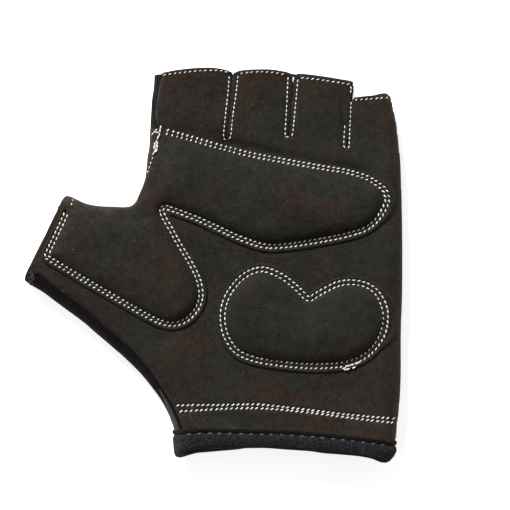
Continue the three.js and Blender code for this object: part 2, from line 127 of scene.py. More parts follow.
THUMB_TAB_FOOT = (-70.9, -3.2)  # where the palm's small tab at the thumb's wrist-side corner begins
INDEX_SIDE_FOOT = 54.9  # where the index finger's knitted side ends and the web strip begins
STRIP_BELOW = 2.3  # how far the side strips reach round on to the back
STRIP_TUCK = 1.3  # how far they reach in under the palm's edge
STRIP_STEP, STRIP_ROWS = 0.6, 13
BAND_TUCK = 1.6  # how far the back's band reaches in under the palm's edge
BAND_ROWS = 9

# Stitch rows. A pad's row is the outer one of two.
GRIP_ROW = [
    (-19.1, 54.1), (-8.2, 51.0), (2.6, 47.8), (12.6, 45.1), (22.6, 43.1), (33.8, 41.1), (45.6, 39.1),
    (51.4, 38.3), (56.6, 37.1), (61.6, 35.4), (65.5, 33.1), (68.4, 30.8), (69.5, 28.1), (69.8, 25.8),
    (69.0, 23.1), (67.5, 20.1), (65.0, 16.9), (60.6, 13.7), (54.2, 11.6), (47.6, 10.1), (40.2, 8.8),
    (32.6, 7.6), (27.4, 7.0), (22.6, 6.8), (19.0, 7.2), (15.6, 8.2), (11.4, 9.7), (7.6, 11.3), (2.6, 13.6),
    (-2.5, 16.0), (-7.5, 18.2), (-12.5, 20.1), (-16.4, 21.5), (-19.7, 22.3), (-18.9, 19.3), (-16.4, 15.0),
    (-14.1, 10.8), (-11.7, 6.7), (-9.4, 2.9), (-7.3, -0.8), (-5.5, -4.7), (-4.5, -8.6), (-4.2, -11.5),
    (-4.5, -14.2), (-5.6, -17.2), (-7.5, -19.8), (-9.9, -22.0), (-12.5, -23.4), (-15.5, -24.1),
    (-18.4, -23.9), (-21.1, -23.2), (-23.7, -22.2), (-29.1, -19.4), (-34.5, -16.3), (-41.1, -12.5),
    (-47.5, -8.8), (-52.7, -5.8), (-57.5, -2.9), (-62.2, -0.1), (-66.2, 2.3), (-67.1, 4.0), (-65.2, 8.4),
    (-61.1, 17.0), (-59.2, 21.2),
]
GRIP_CROTCH_EDGE = [
    (-59.2, 21.2), (-54.5, 21.9), (-50.0, 22.2), (-46.0, 22.2), (-40.0, 22.0), (-35.0, 21.8), (-32.0, 22.2),
    (-30.3, 23.7), (-29.4, 25.8), (-28.1, 28.8), (-26.9, 31.6), (-25.5, 35.0), (-24.2, 38.4), (-22.8, 42.6),
    (-21.4, 46.2), (-20.6, 50.0), (-20.5, 52.8), (-19.1, 54.1),
]
HEEL_ROW = [
    (18.6, -0.7), (15.4, -1.5), (12.6, -2.9), (9.8, -5.0), (7.4, -7.8), (5.4, -10.7), (4.0, -13.8),
    (3.1, -17.3), (2.8, -20.9), (3.1, -24.5), (4.0, -27.9), (5.6, -31.1), (7.6, -33.9), (10.4, -36.0),
    (13.6, -37.4), (17.9, -38.6), (22.6, -39.4), (27.6, -40.1), (32.6, -40.6), (37.6, -40.9), (42.6, -40.9),
    (47.6, -40.7), (52.6, -40.1), (57.0, -38.8), (60.6, -36.9), (64.0, -34.1), (66.5, -30.8), (68.2, -27.1),
    (69.0, -22.9), (69.1, -19.1), (68.5, -15.8), (67.3, -12.7), (65.5, -10.0), (63.2, -8.1), (60.6, -6.8),
    (57.8, -6.1), (54.6, -5.8), (51.4, -6.1), (48.6, -6.8), (45.6, -8.2), (42.6, -9.8), (40.2, -11.2),
    (38.0, -12.4), (35.8, -10.4), (33.6, -8.2), (31.0, -6.0), (28.6, -4.2), (26.2, -2.8), (23.6, -1.7),
    (21.0, -0.9),
]
FLANGE = 1.7  # how far a patch's cut edge lies outside its outer row
FINGER_FLANGE = 0.6  # and along the grip patch's side by the fingers
GRIP_ROW_GAP = 1.5
HEEL_ROW_GAP = 1.8
GROOVE = 0.55  # half width of the groove that a sewn row pulls into a patch
GRIP_BOX = ((-70.5, -27.0), (73.0, 57.5))  # what each patch's grid covers
HEEL_BOX = ((-1.5, -45.0), (73.0, 3.5))
PATCH_STEP = 0.55
HEM_ROWS = {
    "index_hem": [
        (-20.5, 75.8), (-15.5, 76.6), (-10.2, 77.2), (-4.7, 77.7), (0.6, 77.8), (3.8, 77.5), (6.0, 76.9),
    ],
    "middle_hem": [(10.2, 76.5), (15.4, 77.1), (20.6, 77.2), (25.0, 76.8), (28.6, 76.1)],
    "ring_hem": [(34.6, 74.9), (41.4, 74.2), (48.2, 73.2), (54.8, 72.2)],
    "little_hem": [(56.0, 66.0), (59.0, 66.2), (62.6, 66.4), (66.5, 66.7), (70.2, 67.1)],
}
SLIT_ROWS = {
    "index_by_middle": [(6.3, 75.8), (5.7, 68.2), (4.8, 60.1), (4.0, 51.8), (4.4, 50.4), (5.3, 50.0)],
    "middle_by_index": [(9.9, 75.9), (9.0, 68.2), (7.8, 60.1), (7.0, 52.2), (6.6, 51.0), (6.0, 50.2)],
    "middle_by_ring": [(29.7, 75.4), (29.4, 67.8), (29.0, 60.1), (28.6, 52.3), (29.4, 51.3), (30.3, 51.2)],
    "ring_by_middle": [(33.8, 74.4), (33.1, 67.4), (32.4, 60.1), (31.7, 53.2), (31.5, 52.2), (31.0, 51.4)],
    "ring_by_little": [(54.9, 71.6), (54.7, 68.4)],
    "ring_by_little_root": [(52.4, 56.1), (52.1, 51.8), (52.0, 47.8), (52.7, 46.6)],
    "little_by_ring": [(54.9, 65.4), (54.7, 61.4), (54.4, 54.1), (54.1, 48.0), (53.9, 47.1), (53.4, 46.5)],
}
WRIST_ROWS = {
    "upper": [
        (-15.2, -55.9), (-6.7, -55.7), (2.6, -55.7), (10.6, -55.5), (17.6, -55.4), (25.0, -56.1),
        (32.6, -57.0), (42.6, -58.2), (49.8, -59.1), (57.6, -59.9), (65.4, -60.6), (72.6, -61.2),
    ],
    "lower": [
        (-13.9, -58.3), (-5.5, -57.8), (2.6, -57.3), (10.6, -57.0), (17.6, -57.0), (25.0, -57.4),
        (32.6, -58.1), (39.8, -58.9), (47.6, -59.9), (55.0, -60.9), (62.6, -61.8), (72.4, -62.9),
    ],
}
WEB_ROW = [(-23.9, 43.4), (-24.7, 41.2), (-25.4, 38.9), (-26.3, 36.4)]
WEB_TIP_ROW = [(-56.1, 26.8), (-56.8, 23.4)]
# Stitches set one by one: x, y, angle in degrees, tone
WEB_TACK = [
    (-21.0, 55.0, 82, 1.0), (-21.2, 53.7, 86, 1.0), (-22.7, 53.9, 50, 0.9), (-22.2, 53.0, 15, 0.9),
    (-24.0, 52.4, 55, 0.8), (-23.2, 53.2, 30, 0.7), (-21.5, 52.0, 80, 0.8), (-22.0, 50.8, 84, 1.0),
    (-22.6, 49.2, 72, 1.0), (-23.2, 48.2, 88, 1.0), (-22.2, 48.4, 80, 1.0), (-22.7, 47.6, 62, 1.0),
    (-23.4, 47.0, 80, 0.9), (-22.2, 47.1, 72, 1.0), (-22.9, 46.3, 52, 1.0), (-22.5, 45.6, 60, 0.9),
    (-23.2, 45.2, 50, 1.0), (-23.7, 44.5, 54, 1.0),
]
HEEL_TACK = [
    (52.0, -40.9, 20, 1.0), (53.6, -41.3, 24, 1.0), (53.6, -40.0, 15, 1.0), (55.9, -40.7, 25, 1.0),
    (55.4, -39.5, 20, 1.0), (57.4, -38.9, 30, 1.0), (52.6, -41.4, 12, 0.9), (58.1, -38.5, 35, 0.9),
]
THUMB_OVERCAST = [
    (-72.9, -2.6, 60, 0.3), (-72.4, -3.2, -50, 0.3), (-72.2, -3.8, 62, 0.35), (-71.7, -4.6, -48, 0.3),
    (-71.6, -5.2, 58, 0.3), (-73.3, -4.6, 20, 0.2), (-73.0, -6.0, 40, 0.2),
]
# How far the stitches of a patch's rows are turned, in degrees, at shares of the row
GRIP_SLANT = [
    (0, 78), (0.05, 72), (0.1, 58), (0.16, 35), (0.30, 30), (0.36, 12), (0.41, 30), (0.55, 32), (0.575, 10),
    (0.70, 5), (0.76, 30), (0.80, 58), (0.93, 58), (0.95, 15), (1, 10),
]
HEEL_SLANT = [
    (0, 20), (0.1, 5), (0.25, 15), (0.33, 35), (0.5, 40), (0.6, 20), (0.7, 0), (0.8, 20), (0.9, 25), (1, 20),
]
HEM_SLANT, SLIT_SLANT, WEB_SLANT, WRIST_SLANT, BINDING_SLANT = 24, 5, 6, 35, 4

# Cuff binding: its upper edge, and its fold on the palm side and on the back, in plan
BINDING_TOP = [
    (-15.2, -65.9), (-12.0, -65.4), (-7.5, -65.0), (-2.5, -64.9), (6.6, -65.0), (17.6, -65.2), (27.4, -65.5),
    (37.6, -66.1), (45.0, -66.8), (52.6, -67.7), (62.2, -68.9), (73.4, -70.3),
]
BINDING_FOLD_PALM = [
    (-15.2, -76.4), (-13.6, -76.6), (-11.6, -75.6), (-10.0, -74.2), (-8.0, -73.6), (-2.3, -73.1),
    (3.4, -73.0), (9.0, -73.0), (16.9, -72.9), (21.8, -73.0), (28.2, -73.5), (34.6, -73.9), (39.4, -74.3),
    (44.2, -75.0), (50.6, -75.5), (55.4, -75.9), (60.0, -76.4), (64.0, -77.2), (67.4, -78.4), (70.0, -77.9),
    (72.0, -75.6),
]
BINDING_FOLD_BACK = [
    (-15.2, -76.6), (-13.4, -77.2), (-11.4, -77.0), (-7.4, -75.6), (-2.3, -75.1), (3.4, -74.6), (9.0, -74.1),
    (13.1, -73.5), (16.9, -73.0), (25.0, -72.7), (40.0, -73.8), (55.0, -75.3), (64.0, -76.8), (70.0, -77.6),
    (72.0, -75.6),
]
BINDING_ROW_DROP = 2.05  # how far below its upper edge the binding is sewn
BINDING_ENDS = (-14.9, 72.2)
BINDING_COLUMNS = 2 * 118  # points round the wrist
# Its section outside: distance below the upper edge and lift in thicknesses, and then shares of the
# rest down to the fold
BINDING_UPPER = [
    (0.0, -0.15), (0.03, 0.35), (0.3, 0.75), (0.8, 0.85), (1.45, 0.75), (1.8, 0.5), (BINDING_ROW_DROP, 0.42),
    (2.3, 0.55), (2.7, 0.9), (3.5, 1.12),
]
BINDING_LOWER = [(0.7, 1.18), (0.4, 1.15), (0.15, 1.08)]
BINDING_INSIDE = (0.3, 0.7, 0.97)

EDGE_TAPE = {
    "inner": [(-21.3, -49.2), (-19.1, -53.0), (-16.9, -57.2), (-14.9, -61.6), (-13.1, -66.6)],
    "outer": [(-21.6, -49.6), (-20.0, -53.4), (-18.2, -57.8), (-16.5, -62.2), (-14.9, -66.8)],
}

# How high the palm stands over the table, from the wrist to the fingertips, and along the thumb
PALM_HEIGHTS = [
    (-90, 13.7), (-78, 13.9), (-66, 14.7), (-57, 15.5), (-43, 16.5), (-20, 17.3), (4, 17.4), (23, 16.9),
    (35, 16.0), (46, 14.7), (54, 14.1), (66, 13.7), (77, 13.3), (90, 13.1),
]
THUMB_HEIGHTS = [(-10, 17.4), (0, 17.3), (14, 17.0), (28, 16.2), (40, 15.0), (50, 14.2), (60, 13.9)]
BACK_HEIGHTS = [(-90, 1.3), (-66, 1.3), (-58, 0.4), (-50, 0.0), (90, 0.0)]  # its underside rises to the binding
SEAM_HEIGHT = 7.0
SIDE_REACH = 12.0  # how far from a side its cloth can be turned
SLIT_REACH = 5.0  # how far from a slit its seam is felt
SLIT_EASE = 3.0  # how far its closing pulls the cloth
SLIT_SEAM_DROP = 0.3  # the fingers' own side seams lie just under the palm side
SLIT_CLOSED = 0.4  # how far each edge of a slit moves in when the glove is filled
SLIT_TURN = 0.95  # how wide the cloth turns under beside a slit
PALM_CROWN = 0.8
FINGER_CROWN = 0.75
FINGER_LEAN = 0.075  # how far the fingers lean to +X for each millimetre up
FINGER_MIDDLES = [(-8.6, 15.8), (19.2, 12.2), (43.6, 12.2), (63.8, 9.0)]  # at y = 62, with their half widths
# The simulated swell of the pads. Its sheet is coarse, and larger than life, where cloth settings behave.
SWELL_STEP, SWELL_SCALE = 2.0, 20.0
SWELL_CAP = 1.0  # how far the simulation may move a point
SWELL_PRESSURE, SWELL_SHRINK, SWELL_FRAMES = 4.0, -0.012, 20
# Soft folds and dents: from, to, half width, depth (below zero is a ridge)
FOLDS = [
    ((50.9, 66.5), (52.3, 54.0), 0.8, 1.1),
    ((2.0, 74.0), (1.2, 58.0), 2.2, 0.35),
    ((-22.0, 30.0), (-12.0, 37.0), 2.6, 0.35),
    ((-27.0, 21.0), (-20.0, 9.0), 3.0, 0.5),
    ((-36.0, 22.0), (-36.0, 8.0), 3.0, 0.4),
    ((-30.0, -31.0), (-14.0, -28.0), 3.5, 0.5),
    ((-3.0, 8.0), (2.0, -20.0), 3.5, 0.45),
    ((-4.0, -46.0), (20.0, -49.0), 4.0, 0.3),
    ((30.0, -48.5), (60.0, -51.0), 4.0, 0.3),
    ((14.0, 49.5), (52.0, 43.5), 2.5, 0.25),
    ((-18.0, 53.6), (10.0, 46.6), 3.6, 1.3),
    ((2.0, 49.0), (30.0, 42.9), 2.6, 1.9),
    ((24.0, 44.2), (64.0, 36.4), 2.6, 1.6),
]


# Lines and distances, all in millimetres


def unit(ways):
    return ways / np.linalg.norm(ways, axis=1)[:, None]


def leftwards(run):
    """The ways square to the given ones, to their left."""
    return np.column_stack([-run[:, 1], run[:, 0]])


def lengths(line):
    """How far along a line each of its points is."""
    return np.r_[0, np.linalg.norm(np.diff(line, axis=0), axis=1).cumsum()]


def at_length(line, along, at):
    """The places on a line at given lengths along it."""
    return np.column_stack([np.interp(at, along, column) for column in line.T])


def closed_up(ring):
    return np.vstack([ring, ring[:1]])


def smooth_line(points, step=0.8, closed=False):
    """Points at equal steps on a smooth line through the given ones."""
    p = np.array(points, float)
    ends = (p[-1:], p[:2]) if closed else (2 * p[:1] - p[1:2], 2 * p[-1:] - p[-2:-1])
    guide = np.vstack([ends[0], p, ends[1]])
    t = np.linspace(0, 1, 12, endpoint=False)[:, None]
    parts = [
        0.5 * (2 * b + (c - a) * t + (2 * a - 5 * b + 4 * c - d) * t**2 + (3 * b - a - 3 * c + d) * t**3)
        for a, b, c, d in zip(guide, guide[1:], guide[2:], guide[3:])
    ]
    line = np.vstack(parts + [p[:1] if closed else p[-1:]])
    along = lengths(line)
    return at_length(line, along, np.linspace(0, along[-1], max(2, round(along[-1] / step)) + 1))


def measure(points, line):
    """For each point its distance to a line, the nearest place on it, the way to its left and how far along."""
    start, run = line[:-1], np.diff(line, axis=0)
    length = np.linalg.norm(run, axis=1)
    before = np.r_[0, length.cumsum()[:-1]]
    real = length > 1e-6
    start, run, length, before = start[real], run[real], length[real], before[real]
    left = leftwards(run) / length[:, None]
    found = []
    for some in np.array_split(points, max(1, len(points) // 2000)):
        t = np.clip(((some[:, None] - start) * run).sum(2) / length**2, 0, 1)
        foot = start + run * t[..., None]
        reach = ((some[:, None] - foot) ** 2).sum(2)
        k = reach.argmin(1)
        row = np.arange(len(some))
        along = before[k] + length[k] * t[row, k]
        found.append(np.column_stack([np.sqrt(reach[row, k]), foot[row, k], left[k], along]))
    found = np.vstack(found)
    return found[:, 0], found[:, 1:3], found[:, 3:5], found[:, 5]


def inside(points, ring):
    """Which points lie inside a closed outline."""
    x, y = points.T
    within = np.zeros(len(points), bool)
    for (x0, y0), (x1, y1) in zip(ring, np.roll(ring, -1, 0)):
        if y0 != y1:
            within ^= ((y0 > y) != (y1 > y)) & (x < (x1 - x0) * (y - y0) / (y1 - y0) + x0)
    return within


def beside(points, line, reach):
    """Which points lie within reach of a line's box."""
    return np.flatnonzero(((points > line.min(0) - reach) & (points < line.max(0) + reach)).all(1))


def way_off(points, foot, gap, left):
    """The way from a line to points beside it, or to the line's own left where they lie on it."""
    return np.where(gap[:, None] > 0.05, (points - foot) / np.maximum(gap, 1e-9)[:, None], left)


def ease(t):
    t = np.clip(t, 0, 1)
    return t * t * (3 - 2 * t)


def hump(t):
    """1 at 0, and close to nothing beyond 2."""
    return np.exp(-(t**2))


def table_at(table, x):
    line = smooth_line(table, 0.5)
    return np.interp(x, line[:, 0], line[:, 1])


def longer(line, extra=6.0):
    """A line run on past both its ends."""
    head, tail = unit(np.array([line[0] - line[1], line[-1] - line[-2]])) * extra
    return np.vstack([line[0] + head, line, line[-1] + tail])


def slit_loop(middle):
    """Down one side of a slit and up the other, in the cloth as cut."""
    line = smooth_line(middle, 1.0)
    line, half = line[:, :2], line[:, 2:] + SLIT_CLOSED
    run = np.gradient(line, axis=0)
    side = unit(leftwards(run)) * half
    return np.vstack([line + side, line[-1] + run[-1] * 0.3, (line - side)[::-1]])


# The glove's sides: line, and the plan width that the cloth takes to turn under, at shares of its length
ROUND_SIDES = [
    (longer(smooth_line(LITTLE_FINGER_SIDE)), [(0, 6.3), (0.2, 8), (0.4, 9), (0.7, 8.5), (0.85, 6.5), (1, 5)]),
    (longer(smooth_line(THUMB_CROTCH_SIDE, 0.5)), [(0, 4.8), (0.3, 5.2), (0.55, 4.8), (0.75, 5.4), (1, 5)]),
    (longer(smooth_line(THUMB_WRIST_SIDE)), [(0, 5.5), (0.15, 7), (0.35, 8), (0.7, 8), (0.9, 6.6), (1, 6.3)]),
]
SLITS = [slit_loop(middle) for middle in FINGER_SLITS]
SLIT_MIDDLES = [smooth_line(middle, 1.0)[:, :2] for middle in FINGER_SLITS]


def turned_edges(flat):
    """For each round side the points near it, their own way in, how far in they are and the turn's width."""
    for line, widths in ROUND_SIDES:
        near = beside(flat, line, SIDE_REACH)
        if len(near):
            gap, foot, left, along = measure(flat[near], line)
            gap = np.where(((flat[near] - foot) * left).sum(1) >= -1e-6, gap, 0)
            width = np.interp(along / lengths(line)[-1], *np.array(widths).T)
            yield near, way_off(flat[near], foot, gap, left), gap, width


def settle(flat):
    """Where cut cloth comes to lie: place in plan, rise from the side seam and nearness to a slit, 0 to 1."""
    plan, rise, slit = flat.copy(), np.ones(len(flat)), np.zeros(len(flat))
    for near, way, gap, width in turned_edges(flat):
        turn = np.clip(gap / width, 0, 1) * math.pi / 2
        moved = np.where(gap < width, width * (1 - np.cos(turn)), gap)
        plan[near] += way * (moved - gap)[:, None]
        rise[near] *= np.sin(turn)
    for loop in SLITS:
        near = beside(flat, loop, SLIT_REACH)
        if len(near):
            gap, foot, left, _ = measure(flat[near], loop)
            pull = SLIT_CLOSED * (1 - ease(gap / SLIT_EASE))
            plan[near] -= way_off(flat[near], foot, gap, left) * pull[:, None]
            slit[near] = np.maximum(slit[near], (1 - ease(gap / SLIT_REACH)) * rise[near])
            rise[near] *= 1 - (1 - np.clip(gap / SLIT_TURN, 0, 1)) ** 3
    return plan, rise, slit


def flatten(plan):
    """The place in the cloth as cut of points given in plan."""
    plan = np.array(plan, float)
    flat = plan.copy()
    for near, way, gap, width in turned_edges(plan):
        cut = np.where(gap < width, 2 * width / math.pi * np.arccos(1 - np.clip(gap / width, 0, 1)), gap)
        flat[near] += way * (cut - gap)[:, None]
    for middle in SLIT_MIDDLES:
        near = beside(plan, middle, SLIT_REACH)
        if len(near):
            gap, foot, _, _ = measure(plan[near], middle)
            way = (plan[near] - foot) / np.maximum(gap, 1e-6)[:, None]
            flat[near] += way * (SLIT_CLOSED * (1 - ease((gap - 0.1) / SLIT_EASE)))[:, None]
    return flat


def waves(flat, size, seed):
    """Slow unevenness of laid cloth, about -1 to 1."""
    rng = np.random.default_rng(seed)
    total = np.zeros(len(flat))
    for _ in range(6):
        angle, phase, scale = rng.uniform(0, math.pi), rng.uniform(0, 6.28), rng.uniform(0.7, 1.5)
        total += np.sin((flat @ [math.cos(angle), math.sin(angle)]) * 2 * math.pi / (size * scale) + phase)
    return total / 3


def palm_top(flat):
    """Height of the palm side's cloth over the table, away from its turned edges."""
    x, y = flat.T
    top = table_at(PALM_HEIGHTS, y)
    thumb = table_at(THUMB_HEIGHTS, (x + 28) * -0.9 + y * 0.43)
    on_thumb = ease((-20 - x) / 16) * ease((32 - y) / 8) * ease((y + 62) / 10)
    top = top + (np.minimum(thumb, top) - top) * on_thumb
    top += PALM_CROWN * np.clip(1 - ((x - 24) / 54) ** 2, 0, 1) * ease((52 - y) / 12)
    for middle, half in FINGER_MIDDLES:
        across = (x - (middle + (y - 62) * FINGER_LEAN)) / half
        top += FINGER_CROWN * np.clip(1 - across**2, 0, 1) * ease((y - 42) / 14)
    for start, end, width, depth in FOLDS:
        gap, _, _, along = measure(flat, smooth_line([start, end], 1.0))
        length = math.dist(start, end)
        top -= depth * hump(gap / width) * ease(np.minimum(along, length - along) / (0.3 * length) + 0.25)
    return top + 0.22 * waves(flat, 34, 5) + 0.1 * waves(flat, 13, 8)


def skin(flat, face):
    """Outer surface of the glove at points of the cut cloth, on the palm side or on the back."""
    plan, rise, slit = settle(flat)
    top = palm_top(flat)
    level = top if face == PALM else SOLID_BOX[0].z / MM + table_at(BACK_HEIGHTS, flat[:, 1])
    seam = SEAM_HEIGHT + (top - SLIT_SEAM_DROP - SEAM_HEIGHT) * slit
    return np.column_stack([plan, seam + (level - seam) * rise])


def away_from_slits(flat):
    """Which way along x leads away from the slit beside a point: -1 just left of a slit, otherwise 1."""
    away = np.ones(len(flat))
    for middle in SLIT_MIDDLES:
        past = flat[:, 0] - np.interp(flat[:, 1], middle[::-1, 1], middle[::-1, 0])
        away[(past > -1.6) & (past < 0) & (flat[:, 1] > middle[-1, 1] - 0.4)] = -1
    return away


def lifted(flat, lift=0.0, face=PALM):
    """Points over the outer surface by lift, and the ways outwards there."""
    here = skin(flat, face)
    away = away_from_slits(flat)[:, None]
    across = (skin(flat + (0.2, 0) * away, face) - here) * away
    along = skin(flat + (0, 0.2), face) - here
    out = np.cross(across, along) * face
    out /= np.maximum(np.linalg.norm(out, axis=1), 1e-9)[:, None]
    return here + out * np.broadcast_to(lift, len(flat))[:, None], out


def on_skin(flat, lift=0.0, face=PALM):
    return lifted(flat, lift, face)[0]


# The cut outlines


def plan_edge(points, step=0.8):
    """A line given in plan, in the cloth as cut, evened where the turned edges' curves make it jump."""
    line = flatten(smooth_line(points, step))
    for _ in range(4):
        line[1:-1] = (line[:-2] + line[2:]) / 4 + line[1:-1] / 2
    return line


def outline(crotch_side, wrist_side):
    """The cut outline between a line on the thumb's crotch side and one on its wrist side."""
    ends = (LITTLE_END, RING_END, MIDDLE_END, INDEX_END)
    little, ring, middle, index = (smooth_line(end, 0.7) for end in ends)
    down, up = np.array_split(SLITS[0], 2)
    fingers = [little, down[down[:, 1] < little[-1, 1]], up, ring, SLITS[1], middle, SLITS[2], index]
    thumb = smooth_line(THUMB_END, 0.7)
    first, last = (np.linalg.norm(thumb - end, axis=1).argmin() for end in (crotch_side[-1], wrist_side[0]))
    thumb = thumb[first : last + 1]
    wrist, right = smooth_line(WRIST_END), smooth_line(LITTLE_FINGER_SIDE)
    return np.vstack([wrist, right, *fingers, crotch_side, thumb, wrist_side])


def grip_share(flat):
    """Distance inside the grip patch's outer row and from its edge along the crotch, and the nearest places."""
    row, crotch = plan_edge(GRIP_ROW, 0.6), plan_edge(GRIP_CROTCH_EDGE, 0.6)
    within = inside(flat, np.vstack([row, crotch]))
    to_row, row_foot = measure(flat, row)[:2]
    to_crotch, crotch_foot = measure(flat, crotch)[:2]
    return np.where(within, to_row, -to_row), to_crotch, row_foot, crotch_foot, within


def grip_flange(foot):
    """How far the grip patch's cut edge lies outside its row: little along the fingers' side."""
    return FINGER_FLANGE + (FLANGE - FINGER_FLANGE) * ease((41 - foot[:, 1]) / 6)


def heel_share(flat):
    row = smooth_line(HEEL_ROW, 0.6, closed=True)
    to_row, foot = measure(flat, row)[:2]
    return np.where(inside(flat, row), to_row, -to_row), foot


def quilted(depth, row_gap, pad, flange):
    """How far a stitched patch over foam stands off the palm, by the distance inside its outer row."""
    groove = 0.62 * hump(depth / GROOVE) + 0.55 * hump((depth - row_gap) / GROOVE)
    swell = np.clip(depth - row_gap - 0.3, 0, None)
    foam = 0.84 * (1 - (1 - np.clip(swell / 5.2, 0, 1)) ** 2.3) + 0.16 * (1 - hump(swell / 9.0))
    rounded = 0.35 * (1 - ease((depth + flange) / 0.7))
    return bpy.context.scene.glove_sizes.patch_cloth / MM - groove - rounded + pad * foam


def grip_lift(flat):
    depth, to_crotch, foot, *_ = grip_share(flat)
    x, y = flat.T
    pad = bpy.context.scene.glove_sizes.grip_pad / MM
    pad = pad * (0.25 + 0.75 * ease(to_crotch / 9.0)) * (1 - 0.14 * ease((-20 - x) / 20))
    pad = pad * (1 + 0.3 * np.exp(-(((x - 30) / 26) ** 2) - ((y - 16) / 10) ** 2))
    lift = quilted(depth, GRIP_ROW_GAP, pad, grip_flange(foot)) - 0.3 * (1 - ease(to_crotch / 1.2))
    return lift + 0.12 * waves(flat, 9, 21) * ease((depth - 2.5) / 4)


def heel_lift(flat):
    depth, _ = heel_share(flat)
    lift = quilted(depth, HEEL_ROW_GAP, bpy.context.scene.glove_sizes.heel_pad / MM, FLANGE)
    return lift + 0.12 * waves(flat, 9, 22) * ease((depth - 2.5) / 4)


def no_lift(flat):
    return np.zeros(len(flat))


# Making pieces


def alone(piece=None):
    """Nothing selected but the piece."""
    if bpy.context.object and bpy.context.object.mode != "OBJECT":
        bpy.ops.object.mode_set(mode="OBJECT")
    bpy.ops.object.select_all(action="DESELECT")
    if piece:
        piece.select_set(True)
        bpy.context.view_layer.objects.active = piece


def edit_all(piece, operator, **settings):
    """Runs an edit-mode operator on all of a piece."""
    alone(piece)
    bpy.ops.object.mode_set(mode="EDIT")
    bpy.ops.mesh.select_all(action="SELECT")
    operator(**settings)
    bpy.ops.object.mode_set(mode="OBJECT")


def read(items, key, width):
    """One value or a row of values for each of a mesh's items."""
    values = np.empty(len(items) * width, int if key == "vertex_index" else float)
    items.foreach_get(key, values)
    return values.reshape(-1, width)


def places(piece):
    return read(piece.data.vertices, "co", 3)


def put(piece, xyz):
    """Sets every vertex, in millimetres."""
    piece.data.vertices.foreach_set("co", (np.asarray(xyz) * MM).ravel())
    piece.data.update()


def keep_cut_places(piece, cut):
    """Keeps the cut cloth's own coordinates as a UV map in centimetres, for patterns that follow the cloth."""
    corner = read(piece.data.loops, "vertex_index", 1).ravel()
    layer = piece.data.uv_layers.get("cloth") or piece.data.uv_layers.new(name="cloth")
    layer.data.foreach_set("uv", (np.asarray(cut)[corner, :2] / 10).ravel())


def keep_values(piece, name, values):
    """Keeps one number for each point, for its material to read."""
    piece.data.attributes.new(name, "FLOAT", "POINT").data.foreach_set("value", values)


def grid(name, columns, rows):
    """A flat grid, and each point's shares of its width and height."""
    alone()
    bpy.ops.mesh.primitive_grid_add(x_subdivisions=int(columns), y_subdivisions=int(rows), size=1)
    piece = bpy.context.object
    piece.name = piece.data.name = name
    flat = places(piece)[:, :2]
    return piece, (flat - flat.min(0)) / (flat.max(0) - flat.min(0))


def from_lists(name, points, faces):
    """A mesh piece from its points in millimetres and its faces."""
    mesh = bpy.data.meshes.new(name)
    mesh.from_pydata((points.reshape(-1, 3) * MM).tolist(), [], faces)
    piece = bpy.data.objects.new(name, mesh)
    bpy.context.collection.objects.link(piece)
    return piece


def cut_cloth(name, low, high, step, keep, draw):
    """A grid cut to a shape: keep says which face middles stay, and draw moves the edge on to the outline."""
    cells = np.ceil((np.array(high) - low) / step).astype(int)
    piece, shares = grid(name, *cells)
    flat = shares * (cells * step) + low
    middles = flat[read(piece.data.loops, "vertex_index", 1).ravel()].reshape(-1, 4, 2).mean(1)
    bpy.ops.object.mode_set(mode="EDIT")
    bpy.ops.mesh.select_mode(type="FACE")
    bpy.ops.mesh.select_all(action="DESELECT")
    bpy.ops.object.mode_set(mode="OBJECT")
    piece.data.vertices.foreach_set("co", np.column_stack([flat, no_lift(flat)]).ravel())
    piece.data.polygons.foreach_set("select", ~keep(middles))
    bpy.ops.object.mode_set(mode="EDIT")
    bpy.ops.mesh.delete(type="FACE")
    bpy.ops.object.mode_set(mode="OBJECT")
    flat = places(piece)[:, :2]
    shape = bmesh.new()
    shape.from_mesh(piece.data)
    edge = np.array([v.is_boundary for v in shape.verts])
    shape.free()
    flat[edge] = draw(flat[edge])
    return piece, flat


